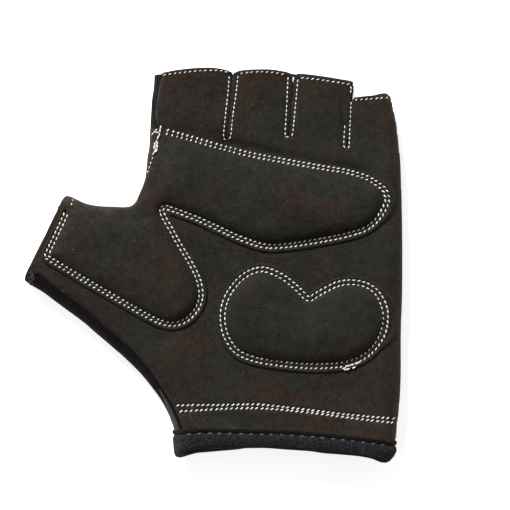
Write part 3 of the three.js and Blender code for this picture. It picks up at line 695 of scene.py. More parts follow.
def swelling(box, keep, draw, lift_of, held):
    """How far foam pushes a patch's cloth up between its rows, as a function of the cut cloth.

    A coarse sheet of the patch, held along its rows and at its edges, is simulated as cloth under pressure.
    """
    low, high = np.array(box)
    sheet, flat = cut_cloth("swelling_sheet", low, high, SWELL_STEP, keep, draw)
    start, out = lifted(flat, lift_of(flat))
    put(sheet, start * SWELL_SCALE)
    fixed = held(flat)
    sheet.vertex_groups.new(name="held").add(np.flatnonzero(fixed).tolist(), 1.0, "REPLACE")
    alone(sheet)
    bpy.ops.object.modifier_add(type="CLOTH")
    cloth = sheet.modifiers[-1]
    cloth.settings.vertex_group_mass = "held"
    cloth.settings.quality = 6
    cloth.settings.shrink_min = SWELL_SHRINK
    cloth.settings.use_pressure = True
    cloth.settings.uniform_pressure_force = SWELL_PRESSURE
    cloth.settings.effector_weights.gravity = 0
    cloth.collision_settings.use_collision = False
    for moment in range(1, SWELL_FRAMES + 1):
        bpy.context.scene.frame_set(moment)
    bpy.ops.object.modifier_apply(modifier=cloth.name)
    bpy.context.scene.frame_set(1)
    rise = ((places(sheet) / MM / SWELL_SCALE - start) * out).sum(1)
    bpy.data.objects.remove(sheet)
    rise = np.where(fixed, 0, SWELL_CAP * np.tanh(np.clip(rise, 0, None) / SWELL_CAP))
    cells = np.ceil((high - low) / SWELL_STEP).astype(int)
    table = np.zeros(cells + 3)
    spot = np.round((flat - low) / SWELL_STEP).astype(int)
    table[spot[:, 0] + 1, spot[:, 1] + 1] = rise

    def between(flat):
        at = np.clip((flat - low) / SWELL_STEP + 1, 0, cells + 1.0)
        cell = np.minimum(at.astype(int), cells + 1)
        (i, j), (u, v) = cell.T, (at - cell).T
        lower = table[i, j] * (1 - u) + table[i + 1, j] * u
        return lower * (1 - v) + (table[i, j + 1] * (1 - u) + table[i + 1, j + 1] * u) * v

    moves = SWELL_STEP * 0.5 * np.array([(1, 1), (1, -1), (-1, 1), (-1, -1)])
    return lambda flat: sum(between(flat + move) for move in moves) / 4


def thicken(piece, thickness, weights=None, even=True):
    """Gives cloth its thickness, inwards from the outer face."""
    alone(piece)
    bpy.ops.object.modifier_add(type="SOLIDIFY")
    wall = piece.modifiers[-1]
    wall.thickness = thickness
    wall.offset = -1
    wall.use_even_offset = even
    wall.thickness_clamp = 1.0
    wall.material_offset = 1
    wall.material_offset_rim = 0
    if weights is not None:
        weights = np.round(weights, 1)
        group = piece.vertex_groups.new(name="thickness")
        for level in np.unique(weights):
            group.add(np.flatnonzero(weights == level).tolist(), float(level), "REPLACE")
        wall.vertex_group = "thickness"
    bpy.ops.object.modifier_apply(modifier=wall.name)


def finish_piece(piece, solid, slot, *materials):
    """Smooth faces, its materials, outer one first, and the solid that it stands for."""
    alone(piece)
    for material in materials:
        piece.data.materials.append(material)
    bpy.ops.object.shade_smooth()
    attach(piece, "root")
    if solid:
        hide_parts(solid)


# Shader nodes


def fill(tree, target, sockets):
    """Gives each socket its own value, or links it to the output that is given for it."""
    for key, value in sockets.items():
        if isinstance(value, bpy.types.NodeSocket):
            tree.links.new(value, target.inputs[key])
        else:
            target.inputs[key].default_value = value


def node(tree, kind, sockets, **settings):
    made = tree.nodes.new("ShaderNode" + kind)
    for key, value in settings.items():
        setattr(made, key, value)
    fill(tree, made, sockets)
    return made


def maths(tree, operation, a, b=0.5):
    return node(tree, "Math", {0: a, 1: b}, operation=operation).outputs[0]


def noise_at(tree, vector, scale, detail=2.0, roughness=0.5, distortion=0.0):
    sockets = {
        "Vector": vector,
        "Scale": scale,
        "Detail": detail,
        "Roughness": roughness,
        "Distortion": distortion,
    }
    return node(tree, "TexNoise", sockets).outputs["Fac"]


def span(tree, value, low, high, to_low=0.0, to_high=1.0, kind="SMOOTHSTEP"):
    """A value moved from one range to another, and kept within it."""
    sockets = {"Value": value, "From Min": low, "From Max": high, "To Min": to_low, "To Max": to_high}
    return node(tree, "MapRange", sockets, interpolation_type=kind).outputs["Result"]


def ramp(tree, value, low, high, to_low, to_high):
    return span(tree, value, low, high, to_low, to_high, "LINEAR")


def blend_colours(tree, mask, a, b):
    return node(tree, "Mix", {0: mask, 6: a, 7: b}, data_type="RGBA").outputs[2]


def bump(tree, height, strength, distance):
    return node(tree, "Bump", {"Height": height, "Strength": strength, "Distance": distance}).outputs["Normal"]


def distance_to(tree, vector, point):
    return node(tree, "VectorMath", {0: vector, 1: point}, operation="DISTANCE").outputs["Value"]


def split(tree, vector):
    return node(tree, "SeparateXYZ", {0: vector}).outputs


def point_value(tree, name):
    return node(tree, "Attribute", {}, attribute_name=name, attribute_type="GEOMETRY").outputs["Fac"]


def object_place(tree):
    return node(tree, "TexCoord", {}).outputs["Object"]


def cloth_place(tree):
    return node(tree, "UVMap", {}, uv_map="cloth").outputs["UV"]


def rgba(colour, times=1.0):
    return tuple(c * times for c in colour) + (1.0,)


def group_tree(name, inputs, outputs):
    """A node group with a vector and number inputs and number outputs, and its two end nodes."""
    tree = bpy.data.node_groups.new(name, "ShaderNodeTree")
    tree.interface.new_socket(name="Vector", in_out="INPUT", socket_type="NodeSocketVector")
    for label, value in inputs.items():
        socket = tree.interface.new_socket(name=label, in_out="INPUT", socket_type="NodeSocketFloat")
        socket.default_value = value
    for label in outputs:
        tree.interface.new_socket(name=label, in_out="OUTPUT", socket_type="NodeSocketFloat")
    return tree, tree.nodes.new("NodeGroupInput").outputs, tree.nodes.new("NodeGroupOutput")


def make_nap():
    """Short suede nap: brushed patches of two tones, brushing and lint, and the nap's own height."""
    outputs = ("Patches", "Shade", "Fleck", "Height")
    tree, given, end = group_tree("Suede nap", {"Patch Scale": 55.0, "Bias": 0.0}, outputs)
    vector = given["Vector"]
    patches = maths(tree, "ADD", noise_at(tree, vector, given["Patch Scale"], 3.0, 0.55, 0.3), given["Bias"])
    fine = noise_at(tree, vector, 1500.0, 3.0, 0.65)
    brushed = noise_at(tree, vector, 380.0, 4.0, 0.65)
    slow = noise_at(tree, vector, 75.0)
    lint = noise_at(tree, vector, 1050.0, 1.0)
    brushing = ramp(tree, brushed, 0.3, 0.7, 0.74, 1.26)
    shade = maths(tree, "MULTIPLY", ramp(tree, fine, 0.3, 0.7, 0.62, 1.38), brushing)
    fill(tree, end, {
        "Patches": span(tree, patches, 0.47, 0.55),
        "Shade": maths(tree, "MULTIPLY", shade, ramp(tree, slow, 0.35, 0.65, 0.9, 1.1)),
        "Fleck": span(tree, lint, 0.73, 0.8),
        "Height": maths(tree, "ADD", fine, maths(tree, "MULTIPLY", brushed, 1.5)),
    })
    return tree


def make_loops():
    """Rows of knitted loops on a cloth's own coordinates."""
    tree, given, end = group_tree("Knit loops", {"Columns": 12.0, "Rows": 14.0}, ("Height", "Gap"))
    place = split(tree, given["Vector"])
    column = maths(tree, "MULTIPLY", place["X"], given["Columns"])
    row = maths(tree, "MULTIPLY", place["Y"], given["Rows"])
    across = maths(tree, "PINGPONG", column, 0.5)
    leg = maths(tree, "SINE", maths(tree, "MULTIPLY", across, math.pi * 2))
    slanted = maths(tree, "ADD", row, maths(tree, "MULTIPLY", across, 1.1))
    loop = maths(tree, "ABSOLUTE", maths(tree, "SINE", maths(tree, "MULTIPLY", slanted, math.pi)))
    full = maths(tree, "ADD", maths(tree, "MULTIPLY", leg, 0.6), 0.4)
    height = maths(tree, "MULTIPLY", maths(tree, "POWER", loop, 0.6), full)
    fill(tree, end, {"Height": height, "Gap": span(tree, height, 0.15, 0.6, 1.0, 0.0)})
    return tree


def place_group(tree, name, make, sockets):
    """A node group placed in a material with its own values, made on its first use."""
    group = bpy.data.node_groups.get(name) or make()
    return node(tree, "Group", sockets, node_tree=group).outputs


# Materials


def shader(name):
    material = bpy.data.materials.new(name)
    material.use_nodes = True
    tree = material.node_tree
    tree.nodes.clear()
    surface = node(tree, "BsdfPrincipled", {})
    node(tree, "OutputMaterial", {"Surface": surface.outputs["BSDF"]})
    return material, tree, surface


def suede(name, patch_scale, light=1.0, shift=(0, 0, 0)):
    """Matt two-tone suede with nap and stray lint, greener over the middle of the palm and of the thumb, with
    painted light: lighter towards the wrist and along the little finger's side.
    """
    if name in bpy.data.materials:
        return bpy.data.materials[name]
    colours = bpy.context.scene.glove_colours
    material, tree, surface = shader(name)
    place = object_place(tree)
    from_thumb = maths(tree, "ADD", distance_to(tree, place, (-0.034, 0.0, 0.017)), 0.034)
    distance = maths(tree, "MINIMUM", distance_to(tree, place, (0.030, 0.004, 0.018)), from_thumb)
    nap = place_group(tree, "Suede nap", make_nap, {
        "Vector": node(tree, "Mapping", {"Vector": place, "Location": shift}).outputs["Vector"],
        "Patch Scale": patch_scale,
        "Bias": span(tree, distance, 0.024, 0.078, 0.062, -0.07),
    })
    brown, green = rgba(colours.suede_brown, light), rgba(colours.suede_green, light)
    where = split(tree, place)
    # Painted light: lighter by the wrist, fading towards the fingertips, and lighter along the little finger's
    # turned side
    wrist_painted_light = span(tree, where["Y"], -0.067, -0.055, 1.2, 1.0)
    painted_light = maths(tree, "MULTIPLY", span(tree, where["Y"], -0.07, 0.03, 1.16, 0.96), wrist_painted_light)
    painted_light = maths(tree, "MULTIPLY", painted_light, span(tree, where["X"], 0.062, 0.073, 1.0, 1.3))
    shaded = node(tree, "VectorMath", {
        0: blend_colours(tree, nap["Patches"], brown, green),
        "Scale": maths(tree, "MULTIPLY", nap["Shade"], painted_light),
    }, operation="SCALE")
    fill(tree, surface, {
        "Base Color": blend_colours(tree, nap["Fleck"], shaded.outputs[0], rgba((0.07, 0.062, 0.05))),
        "Roughness": ramp(tree, nap["Shade"], 0.6, 1.4, 1.0, 0.88),
        "IOR": 1.2,
        "Specular IOR Level": 0.3,
        "Sheen Weight": 0.02,
        "Sheen Roughness": 0.6,
        "Sheen Tint": (0.9, 0.82, 0.74, 1),
        "Normal": bump(tree, nap["Height"], 0.5, 0.0003),
    })
    return material


def pad_suede():
    return suede("Pad suede", 46.0, 1.0, (0.31, 0.12, 0.0))


def knit(name, colour, rows):
    """Stretch knit on the cloth's own coordinates, with a little fuzz, painted shade in the gaps between its
    loops and painted shade where it goes into a seam.
    """
    material, tree, surface = shader(name)
    place = object_place(tree)
    sockets = {"Vector": cloth_place(tree), "Columns": 17.0, "Rows": rows}
    loops = place_group(tree, "Knit loops", make_loops, sockets)
    fuzz = noise_at(tree, place, 1400.0, 3.0)
    slow = noise_at(tree, place, 90.0)
    lit = blend_colours(tree, span(tree, fuzz, 0.35, 0.7), rgba(colour, 0.75), rgba(colour, 1.7))
    tinted = blend_colours(tree, span(tree, slow, 0.4, 0.62, 0.0, 0.5), lit, rgba(colour, 1.25))
    # Painted shade: the gaps between the loops take a darker copy of the colour
    shaded_gaps = blend_colours(tree, loops["Gap"], tinted, rgba(colour, 0.3))
    # Painted shade where the strip tucks in under the palm's edge, from the points' seam value
    seam = span(tree, point_value(tree, "seam"), 0.0, 1.0, 0.0, 0.9)
    height = maths(tree, "ADD", loops["Height"], maths(tree, "MULTIPLY", fuzz, 0.6))
    fill(tree, surface, {
        "Base Color": blend_colours(tree, seam, shaded_gaps, rgba(colour, 0.1)),
        "Roughness": ramp(tree, fuzz, 0.3, 0.7, 0.7, 0.9),
        "IOR": 1.12,
        "Specular IOR Level": 0.25,
        "Normal": bump(tree, height, 0.7, 0.00016),
    })
    return material


def binding_knit(colour):
    """Soft brushed knit of the binding: furry and lighter below the sewn line, and darkened above it as painted
    shade of its rolled upper edge.
    """
    material, tree, surface = shader("Binding knit")
    place, cloth = object_place(tree), cloth_place(tree)
    loops = place_group(tree, "Knit loops", make_loops, {"Vector": cloth, "Columns": 13.0, "Rows": 11.0})
    ragged = maths(tree, "MULTIPLY", noise_at(tree, place, 700.0, 3.0), 0.06)
    # Mask of the knit below the sewn line; above it the colour is painted shade
    below = span(tree, maths(tree, "ADD", split(tree, cloth)["Y"], ragged), 0.17, 0.24)
    fur = noise_at(tree, place, 1100.0, 4.0, 0.7)
    hairs = span(tree, fur, 0.36, 0.66)
    blotches = span(tree, noise_at(tree, place, 130.0, 3.0), 0.45, 0.62, 0.0, 0.4)
    lit = blend_colours(tree, hairs, rgba(colour, 0.45), rgba(colour, 1.9))
    lit = blend_colours(tree, blotches, lit, rgba(colour, 0.6))
    # Painted shade: a darker copy of the colour for the rolled edge above the sewn line
    upper = blend_colours(tree, hairs, rgba(colour, 0.3), rgba(colour, 0.62))
    height = maths(tree, "ADD", loops["Height"], maths(tree, "MULTIPLY", fur, 1.4))
    fill(tree, surface, {
        "Base Color": blend_colours(tree, below, upper, lit),
        "Roughness": ramp(tree, fur, 0.3, 0.7, 0.8, 0.95),
        "IOR": 1.12,
        "Specular IOR Level": 0.25,
        "Sheen Weight": 0.03,
        "Normal": bump(tree, height, 0.8, 0.0003),
    })
    return material


def twill(colour):
    """Narrow woven tape with diagonal ribs."""
    material, tree, surface = shader("Tape twill")
    turned = node(tree, "Mapping", {"Vector": cloth_place(tree), "Rotation": (0, 0, math.radians(40))})
    sockets = {"Vector": turned.outputs["Vector"], "Scale": 3.6, "Distortion": 0.8}
    ribs = node(tree, "TexWave", sockets, wave_type="BANDS", bands_direction="X").outputs["Fac"]
    fuzz = noise_at(tree, object_place(tree), 1500.0)
    lit = blend_colours(tree, ribs, rgba(colour, 0.4), rgba(colour, 1.8))
    fill(tree, surface, {
        "Base Color": blend_colours(tree, span(tree, fuzz, 0.3, 0.7, 0, 0.35), lit, rgba(colour, 0.6)),
        "Roughness": ramp(tree, fuzz, 0.3, 0.7, 0.7, 0.9),
        "Normal": bump(tree, ribs, 0.6, 0.0002),
    })
    return material


def thread(name, bright, dull):
    """Sewing thread: each stitch has its own tone, with twisted strands."""
    material, tree, surface = shader(name)
    strands = noise_at(tree, object_place(tree), 3200.0)
    shade = blend_colours(tree, point_value(tree, "tone"), rgba(dull), rgba(bright))
    fill(tree, surface, {
        "Base Color": blend_colours(tree, span(tree, strands, 0.35, 0.65, 0, 0.3), shade, rgba(dull, 0.75)),
        "Roughness": ramp(tree, strands, 0.3, 0.7, 0.55, 0.8),
        "Sheen Weight": 0.2,
        "Normal": bump(tree, strands, 0.4, 0.0001),
    })
    return material


def shaded_inner_cloth():
    """Wrong side of the cloth, seen only in the openings: the cloth's own dark colour, made near black as
    painted shade inside the glove.
    """
    if "Cloth inside" in bpy.data.materials:
        return bpy.data.materials["Cloth inside"]
    material, tree, surface = shader("Cloth inside")
    # Painted shade: darker than the outer cloth, standing for the shade inside the openings
    colour = (0.005, 0.0045, 0.005)
    place = object_place(tree)
    weave = node(tree, "TexVoronoi", {"Vector": place, "Scale": 1100.0}).outputs["Distance"]
    fill(tree, surface, {
        "Base Color": blend_colours(tree, weave, rgba(colour, 1.4), rgba(colour, 0.6)),
        "Roughness": ramp(tree, noise_at(tree, place, 600.0), 0.3, 0.7, 0.85, 0.98),
        "Normal": bump(tree, weave, 0.4, 0.0002),
    })
    return material


# Stitches


def stitch_shape(length, width, height):
    """One stitch of thread about the origin, along x: plump in the middle and sunk at its ends."""
    alone()
    bpy.ops.mesh.primitive_uv_sphere_add(segments=6, ring_count=5, radius=0.5)
    stitch = bpy.context.object
    middle = {"center_override": (0, 0, 0)}
    edit_all(stitch, bpy.ops.transform.rotate, value=math.pi / 2, orient_axis="Y", **middle)
    edit_all(stitch, bpy.ops.transform.resize, value=(length, width, height), **middle)
    co = places(stitch)
    share = np.abs(2 * co[:, 0] / length)
    co[:, 1:] *= (1 + 0.45 * share**2)[:, None]  # ends blunt, like laid thread
    co[:, 2] -= 0.4 * height * share**3
    faces = [tuple(f.vertices) for f in stitch.data.polygons]
    bpy.data.objects.remove(stitch)
    return co, faces


def sew(name, slot, rows, shape, material):
    """One mesh of many stitches: each has a place, a way along that also stretches it, a way out and a tone."""
    co, faces = shape
    spots, along, out, tone = (np.concatenate(column) for column in zip(*rows))
    stretch = np.linalg.norm(along, axis=1)[:, None]
    side = unit(np.cross(out, along))
    axes = (np.cross(side, out) * stretch, side, out)
    points = spots[:, None] + sum(co[None, :, k : k + 1] * axis[:, None] for k, axis in enumerate(axes))
    starts = (np.arange(len(spots)) * len(co)).tolist()
    piece = from_lists(name, points, [tuple(v + start for v in face) for start in starts for face in faces])
    keep_values(piece, "tone", np.repeat(tone, len(co)))
    finish_piece(piece, None, slot, material)


def laid(spot, run, lift_of, lift):
    """Stitches laid on the cloth at places and along ways given in plan: where, which way and which way out."""
    middle, ahead, behind = (flatten(spot + run * move) for move in (0, 0.4, -0.4))
    place, out = lifted(middle, lift_of(middle) + lift)
    return place, unit(on_skin(ahead, lift_of(ahead) + lift) - on_skin(behind, lift_of(behind) + lift)), out


def row_of_stitches(line, pitch, slant, lift_of, seed, lift=0.12):
    """Stitches at even steps along a line in plan, each turned from it by slant: anticlockwise, in degrees."""
    rng = np.random.default_rng(seed)
    fine = smooth_line(line, 0.2)
    along = lengths(fine)
    count = max(2, round(along[-1] / pitch))
    at = (np.arange(count) + 0.5) * along[-1] / count
    at += rng.normal(0, 0.04 * pitch, count)
    slants = np.array(slant if isinstance(slant, list) else [(0, slant)], float)
    turn = np.radians(np.interp(at / along[-1], *slants.T)) + rng.normal(0, math.radians(4), count)
    run = unit(at_length(fine, along, at + 0.3) - at_length(fine, along, at - 0.3))
    run = run * np.cos(turn)[:, None] + leftwards(run) * np.sin(turn)[:, None]
    tone = np.clip(rng.normal(0.75, 0.22, count), 0, 1)
    return *laid(at_length(fine, along, at), run, lift_of, lift), tone


def single_stitches(spots, lift_of=no_lift, lift=0.2, stretch=1.0):
    """Stitches set one by one: x, y, angle from +x in degrees, and tone."""
    spots = np.array(spots, float)
    turn = np.radians(spots[:, 2])
    run = np.column_stack([np.cos(turn), np.sin(turn)])
    place, way, out = laid(spots[:, :2], run, lift_of, lift)
    return place, way * stretch, out, spots[:, 3]


def inner_row(line, gap, closed=False):
    """The second row of a double row, on the first one's right."""
    fine = smooth_line(line, 0.5, closed)
    if closed:
        fine = fine[:-1]
        run = np.roll(fine, -1, 0) - np.roll(fine, 1, 0)
    else:
        run = np.gradient(fine, axis=0)
    row = fine - leftwards(unit(run)) * gap
    return row[measure(row, closed_up(fine) if closed else fine)[0] > gap * 0.985]


# Sizes and colours that can be changed


def length_property(label, words, value, low, high):
    return bpy.props.FloatProperty(
        name=label, description=words, default=value, min=low, max=high, unit="LENGTH"
    )


def colour_property(label, words, value):
    return bpy.props.FloatVectorProperty(
        name=label, description=words, subtype="COLOR", size=3, min=0, max=1, default=value
    )


class GloveSizes(bpy.types.PropertyGroup):
    """Sizes of the glove's cloth and pads."""

    cloth: length_property("Cloth", "Thickness of the suede palm and the knitted back", 0.0010, 0.0005, 0.002)
    hem: length_property(
        "Hem", "Thickness of the folded hems at the finger and thumb ends", 0.0017, 0.001, 0.003
    )
    patch_cloth: length_property(
        "Patch", "Height of a suede patch's cut edge over the palm", 0.0010, 0.0005, 0.002
    )
    grip_pad: length_property("Grip pad", "How far the foam lifts the grip patch", 0.0026, 0.0, 0.006)
    heel_pad: length_property("Heel pad", "How far the foam lifts the heel patch", 0.0026, 0.0, 0.006)
    binding: length_property(
        "Binding", "Thickness of the cuff binding outside the cloth", 0.0011, 0.0005, 0.002
    )
    stitch: length_property("Stitch", "Step from stitch to stitch in the white rows", 0.0020, 0.001, 0.004)


class GloveColours(bpy.types.PropertyGroup):
    """Colours of the glove's cloth and thread."""

    suede_brown: colour_property(
        "Suede brown", "Brown of the suede's brushed patches", (0.0205, 0.0148, 0.0114)
    )
    suede_green: colour_property(
        "Suede grey", "Grey green of the suede's brushed patches", (0.0158, 0.0158, 0.0127)
    )
    back_knit: colour_property("Back", "The knitted back", (0.0085, 0.0072, 0.0082))
    side_knit: colour_property(
        "Index side", "The knitted strip beside the index finger", (0.0150, 0.0150, 0.0125)
    )
    binding: colour_property("Binding", "The cuff binding", (0.018, 0.018, 0.020))
    tape: colour_property("Tape", "The woven tape above the wrist", (0.015, 0.0145, 0.0165))
    thread: colour_property("Thread", "The white stitching", (0.82, 0.80, 0.76))


# Operators


class GLOVE_OT_palm(bpy.types.Operator):
    """Suede palm panel with the palm halves of the fingers and of the thumb"""

    bl_idname = "glove.palm"
    bl_label = "Palm Panel"

    def execute(self, context):
        sizes = context.scene.glove_sizes
        crotch, wrist = plan_edge(PALM_EDGE_BY_CROTCH), plan_edge(PALM_EDGE_BY_WRIST)
        ring = outline(crotch, wrist)
        body = outline(smooth_line(THUMB_CROTCH_SIDE, 0.5), smooth_line(THUMB_WRIST_SIDE))

        def keep(p):
            return inside(p, ring) & inside(p, body)

        def draw(p):
            to_ring, ring_foot = measure(p, closed_up(ring))[:2]
            to_body, body_foot = measure(p, closed_up(body))[:2]
            return np.where((to_ring < to_body)[:, None], ring_foot, body_foot)

        piece, flat = cut_cloth("suede_palm", body.min(0) - 1, body.max(0) + 1, 0.75, keep, draw)
        edge = np.minimum(measure(flat, crotch)[0], measure(flat, wrist)[0])
        hems = (INDEX_END, MIDDLE_END, RING_END, LITTLE_END, THUMB_END)
        ends = np.min([measure(flat, smooth_line(end))[0] for end in hems], axis=0)
        lift = 0.25 - 0.5 * (1 - ease(edge / 1.3)) - 0.35 * (1 - ease(ends / 0.9))
        lift -= 0.3 * hump((ends - 1.9) / 0.6) + 0.25 * hump((edge - 2.2) / 0.8)
        for row in [*SLIT_ROWS.values(), *WRIST_ROWS.values()]:
            lift -= 0.32 * hump(measure(flat, smooth_line(row))[0] / 0.6)
        put(piece, on_skin(flat, lift))
        keep_cut_places(piece, flat)
        thin = sizes.cloth / sizes.hem
        thicken(piece, sizes.hem, thin + (1 - thin) * (1 - ease((ends - 3.2) / 1.2)))
        finish_piece(piece, "palm_panel", "palm_suede", suede("Palm suede", 60.0), shaded_inner_cloth())
        return {"FINISHED"}


class GLOVE_OT_back(bpy.types.Operator):
    """Knitted back, which wraps on to the palm side along the thumb"""

    bl_idname = "glove.back"
    bl_label = "Back Panel"

    def execute(self, context):
        sizes, colours = context.scene.glove_sizes, context.scene.glove_colours
        crotch_side, wrist_side = smooth_line(THUMB_CROTCH_SIDE, 0.5), smooth_line(THUMB_WRIST_SIDE)
        strip_foot = crotch_side + leftwards(unit(np.gradient(crotch_side, axis=0))) * STRIP_BELOW
        ring = outline(strip_foot, wrist_side)

        def keep(p):
            return inside(p, ring)

        def draw(p):
            return measure(p, closed_up(ring))[1]

        piece, flat = cut_cloth("knit_back", ring.min(0) - 0.8, ring.max(0) + 0.8, 0.8, keep, draw)
        spots, cut = self.add_band(piece, flat, wrist_side)
        put(piece, spots)
        if np.mean([f.normal.z for f in list(piece.data.polygons)[:400]]) > 0:
            edit_all(piece, bpy.ops.mesh.flip_normals)
        keep_cut_places(piece, cut)
        thicken(piece, sizes.cloth)
        material = knit("Back knit", colours.back_knit, 20.0)
        finish_piece(piece, "back_panel", "back_knit", material, shaded_inner_cloth())
        return {"FINISHED"}

    def add_band(self, piece, flat, wrist_side):
        """Carries the edge on the thumb's wrist side round on to the palm side, to under the suede."""
        palm_edge = plan_edge(PALM_EDGE_BY_WRIST)
        tab_foot = np.linalg.norm(palm_edge - flatten([THUMB_TAB_FOOT]), axis=1).argmin()
        palm_edge = palm_edge[tab_foot:]
        spots, cut = list(on_skin(flat, 0.0, BACK)), list(flat)
        gap, foot, way, _ = measure(flat, wrist_side)
        reach = np.maximum(1.0, measure(foot, palm_edge)[0]) + BAND_TUCK
        shape = bmesh.new()
        shape.from_mesh(piece.data)
        rim = [e for e in shape.edges if e.is_boundary and all(gap[v.index] < 0.02 for v in e.verts)]
        root = {v.index: v.index for e in rim for v in e.verts}  # the rim's point that each point started from
        for k in range(1, BAND_ROWS + 1):
            made = bmesh.ops.extrude_edge_only(shape, edges=rim)["geom"]
            fresh = [g for g in made if isinstance(g, bmesh.types.BMVert)]
            shape.verts.index_update()
            below = [next(e.other_vert(v) for e in v.link_edges if e.other_vert(v) not in fresh) for v in fresh]
            start = [root[v.index] for v in below]
            root.update((v.index, i) for v, i in zip(fresh, start))
            share = k / BAND_ROWS
            at = foot[start] + way[start] * reach[start][:, None] * share
            under = 0.9 * ease((share * reach[start] - (reach[start] - 1.9)) / 0.9)
            under = np.maximum(under, 0.8 * ease((THUMB_TAB_FOOT[0] + 0.4 - at[:, 0]) / 1.2))
            spots.extend(on_skin(at, -0.25 - under))
            cut.extend(2 * foot[start] - at)
            rim = [g for g in made if isinstance(g, bmesh.types.BMEdge) and all(v in fresh for v in g.verts)]
        shape.normal_update()
        bmesh.ops.recalc_face_normals(shape, faces=shape.faces)
        shape.to_mesh(piece.data)
        shape.free()
        return spots, cut


def side_strip(name, start, end, lift, crease):
    """A strip sewn in between palm and back along the crotch side, from one length along it to another."""
    line = smooth_line(THUMB_CROTCH_SIDE, 0.4)
    along = lengths(line)
    end = along[-1] if end is None else end
    piece, shares = grid(name, round((end - start) / STRIP_STEP), STRIP_ROWS)
    at = start + (end - start) * shares[:, 0]
    foot = at_length(line, along, at)
    run = unit(at_length(line, along, at + 0.8) - at_length(line, along, at - 0.8))
    reach = measure(foot, plan_edge(PALM_EDGE_BY_CROTCH, 0.5))[0] + STRIP_TUCK
    depth = -STRIP_BELOW + (STRIP_BELOW + reach) * shares[:, 1]
    inwards = np.abs(depth)
    aslant = 0.52 * inwards * ease((at - along[-1] + 9) / 9) - 0.3 * inwards * ease((5 - at) / 5)
    flat = foot + leftwards(run) * inwards[:, None] + run * aslant[:, None]
    tuck = 0.8 * ease((depth - reach + 1.6) / 0.9) + crease * hump((depth - reach + 1.9) / 0.55)
    put(piece, np.where((depth >= 0)[:, None], on_skin(flat, lift - tuck), on_skin(flat, lift, BACK)))
    keep_cut_places(piece, np.column_stack([at, depth]))
    # Painted shade for the knit to read: strongest where the strip tucks in under the palm's edge
    keep_values(piece, "seam", ease((depth - reach + 2.5) / 0.9))
    outwards(piece)
    return piece


def outwards(piece):
    """Turns a strip's faces out if those on the palm side point into the glove."""
    normal, centre = (read(piece.data.polygons, key, 3) for key in ("normal", "center"))
    if normal[centre[:, 2] > (SEAM_HEIGHT + 2) * MM, 2].mean() < 0:
        edit_all(piece, bpy.ops.mesh.flip_normals)


class GLOVE_OT_thumb_side(bpy.types.Operator):
    """Knitted strip beside the index finger and the suede strip round the crotch of the thumb"""

    bl_idname = "glove.thumb_side"
    bl_label = "Index Side and Web Strip"

    def execute(self, context):
        sizes, colours = context.scene.glove_sizes, context.scene.glove_colours
        line = smooth_line(THUMB_CROTCH_SIDE, 0.4)
        border = lengths(line)[np.argmax(line[:, 1] < INDEX_SIDE_FOOT)]
        index_side = side_strip("index_side_knit", 0.0, border + 1.5, -0.12, 1.3)
        thicken(index_side, sizes.cloth * 0.8, even=False)
        material = knit("Side knit", colours.side_knit, 22.0)
        finish_piece(index_side, "index_side", "side_knit", material, shaded_inner_cloth())
        web = side_strip("suede_web_strip", border, None, 0.0, 0.15)
        thicken(web, sizes.cloth, even=False)
        material = suede("Web suede", 80.0, 1.4, (0.07, 0.4, 0.0))
        finish_piece(web, "web_strip", "web_suede", material, shaded_inner_cloth())
        return {"FINISHED"}


def patch_piece(name, solid, box, keep, draw, lift_of, held):
    """A suede patch over foam, swollen between its rows."""
    swell = swelling(box, keep, draw, lift_of, held)
    piece, flat = cut_cloth(name, *np.array(box), PATCH_STEP, keep, draw)
    put(piece, on_skin(flat, lift_of(flat) + swell(flat)))
    keep_cut_places(piece, flat)
    thicken(piece, bpy.context.scene.glove_sizes.patch_cloth * 0.9, even=False)
    finish_piece(piece, solid, "pad_suede", pad_suede(), pad_suede())


class GLOVE_OT_grip_patch(bpy.types.Operator):
    """Suede patch over foam across the knuckles and on the thumb"""

    bl_idname = "glove.grip_patch"
    bl_label = "Grip Patch"

    def execute(self, context):
        def keep(p):
            depth, to_crotch, row_foot, _, within = grip_share(p)
            return within | ((depth > -grip_flange(row_foot)) & (to_crotch > -depth - 0.01))

        def draw(p):
            depth, to_crotch, row_foot, crotch_foot, within = grip_share(p)
            out = (p - row_foot) / np.maximum(np.abs(depth), 1e-6)[:, None] * np.where(within, -1, 1)[:, None]
            flange = row_foot + out * grip_flange(row_foot)[:, None]
            by_crotch = to_crotch < np.linalg.norm(p - flange, axis=1)
            return np.where(by_crotch[:, None], crotch_foot, flange)

        def held(p):
            depth, to_crotch, *_ = grip_share(p)
            return (depth < GRIP_ROW_GAP + 0.5) | (to_crotch < 3)

        patch_piece("grip_patch_suede", "grip_patch", GRIP_BOX, keep, draw, grip_lift, held)
        return {"FINISHED"}


class GLOVE_OT_heel_patch(bpy.types.Operator):
    """Bean-shaped suede patch over foam under the little finger"""

    bl_idname = "glove.heel_patch"
    bl_label = "Heel Patch"

    def execute(self, context):
        def keep(p):
            return heel_share(p)[0] > -FLANGE

        def draw(p):
            depth, foot = heel_share(p)
            return foot + (p - foot) / np.maximum(np.abs(depth), 1e-6)[:, None] * FLANGE

        def held(p):
            return heel_share(p)[0] < HEEL_ROW_GAP + 0.5

        patch_piece("heel_patch_suede", "heel_patch", HEEL_BOX, keep, draw, heel_lift, held)
        return {"FINISHED"}


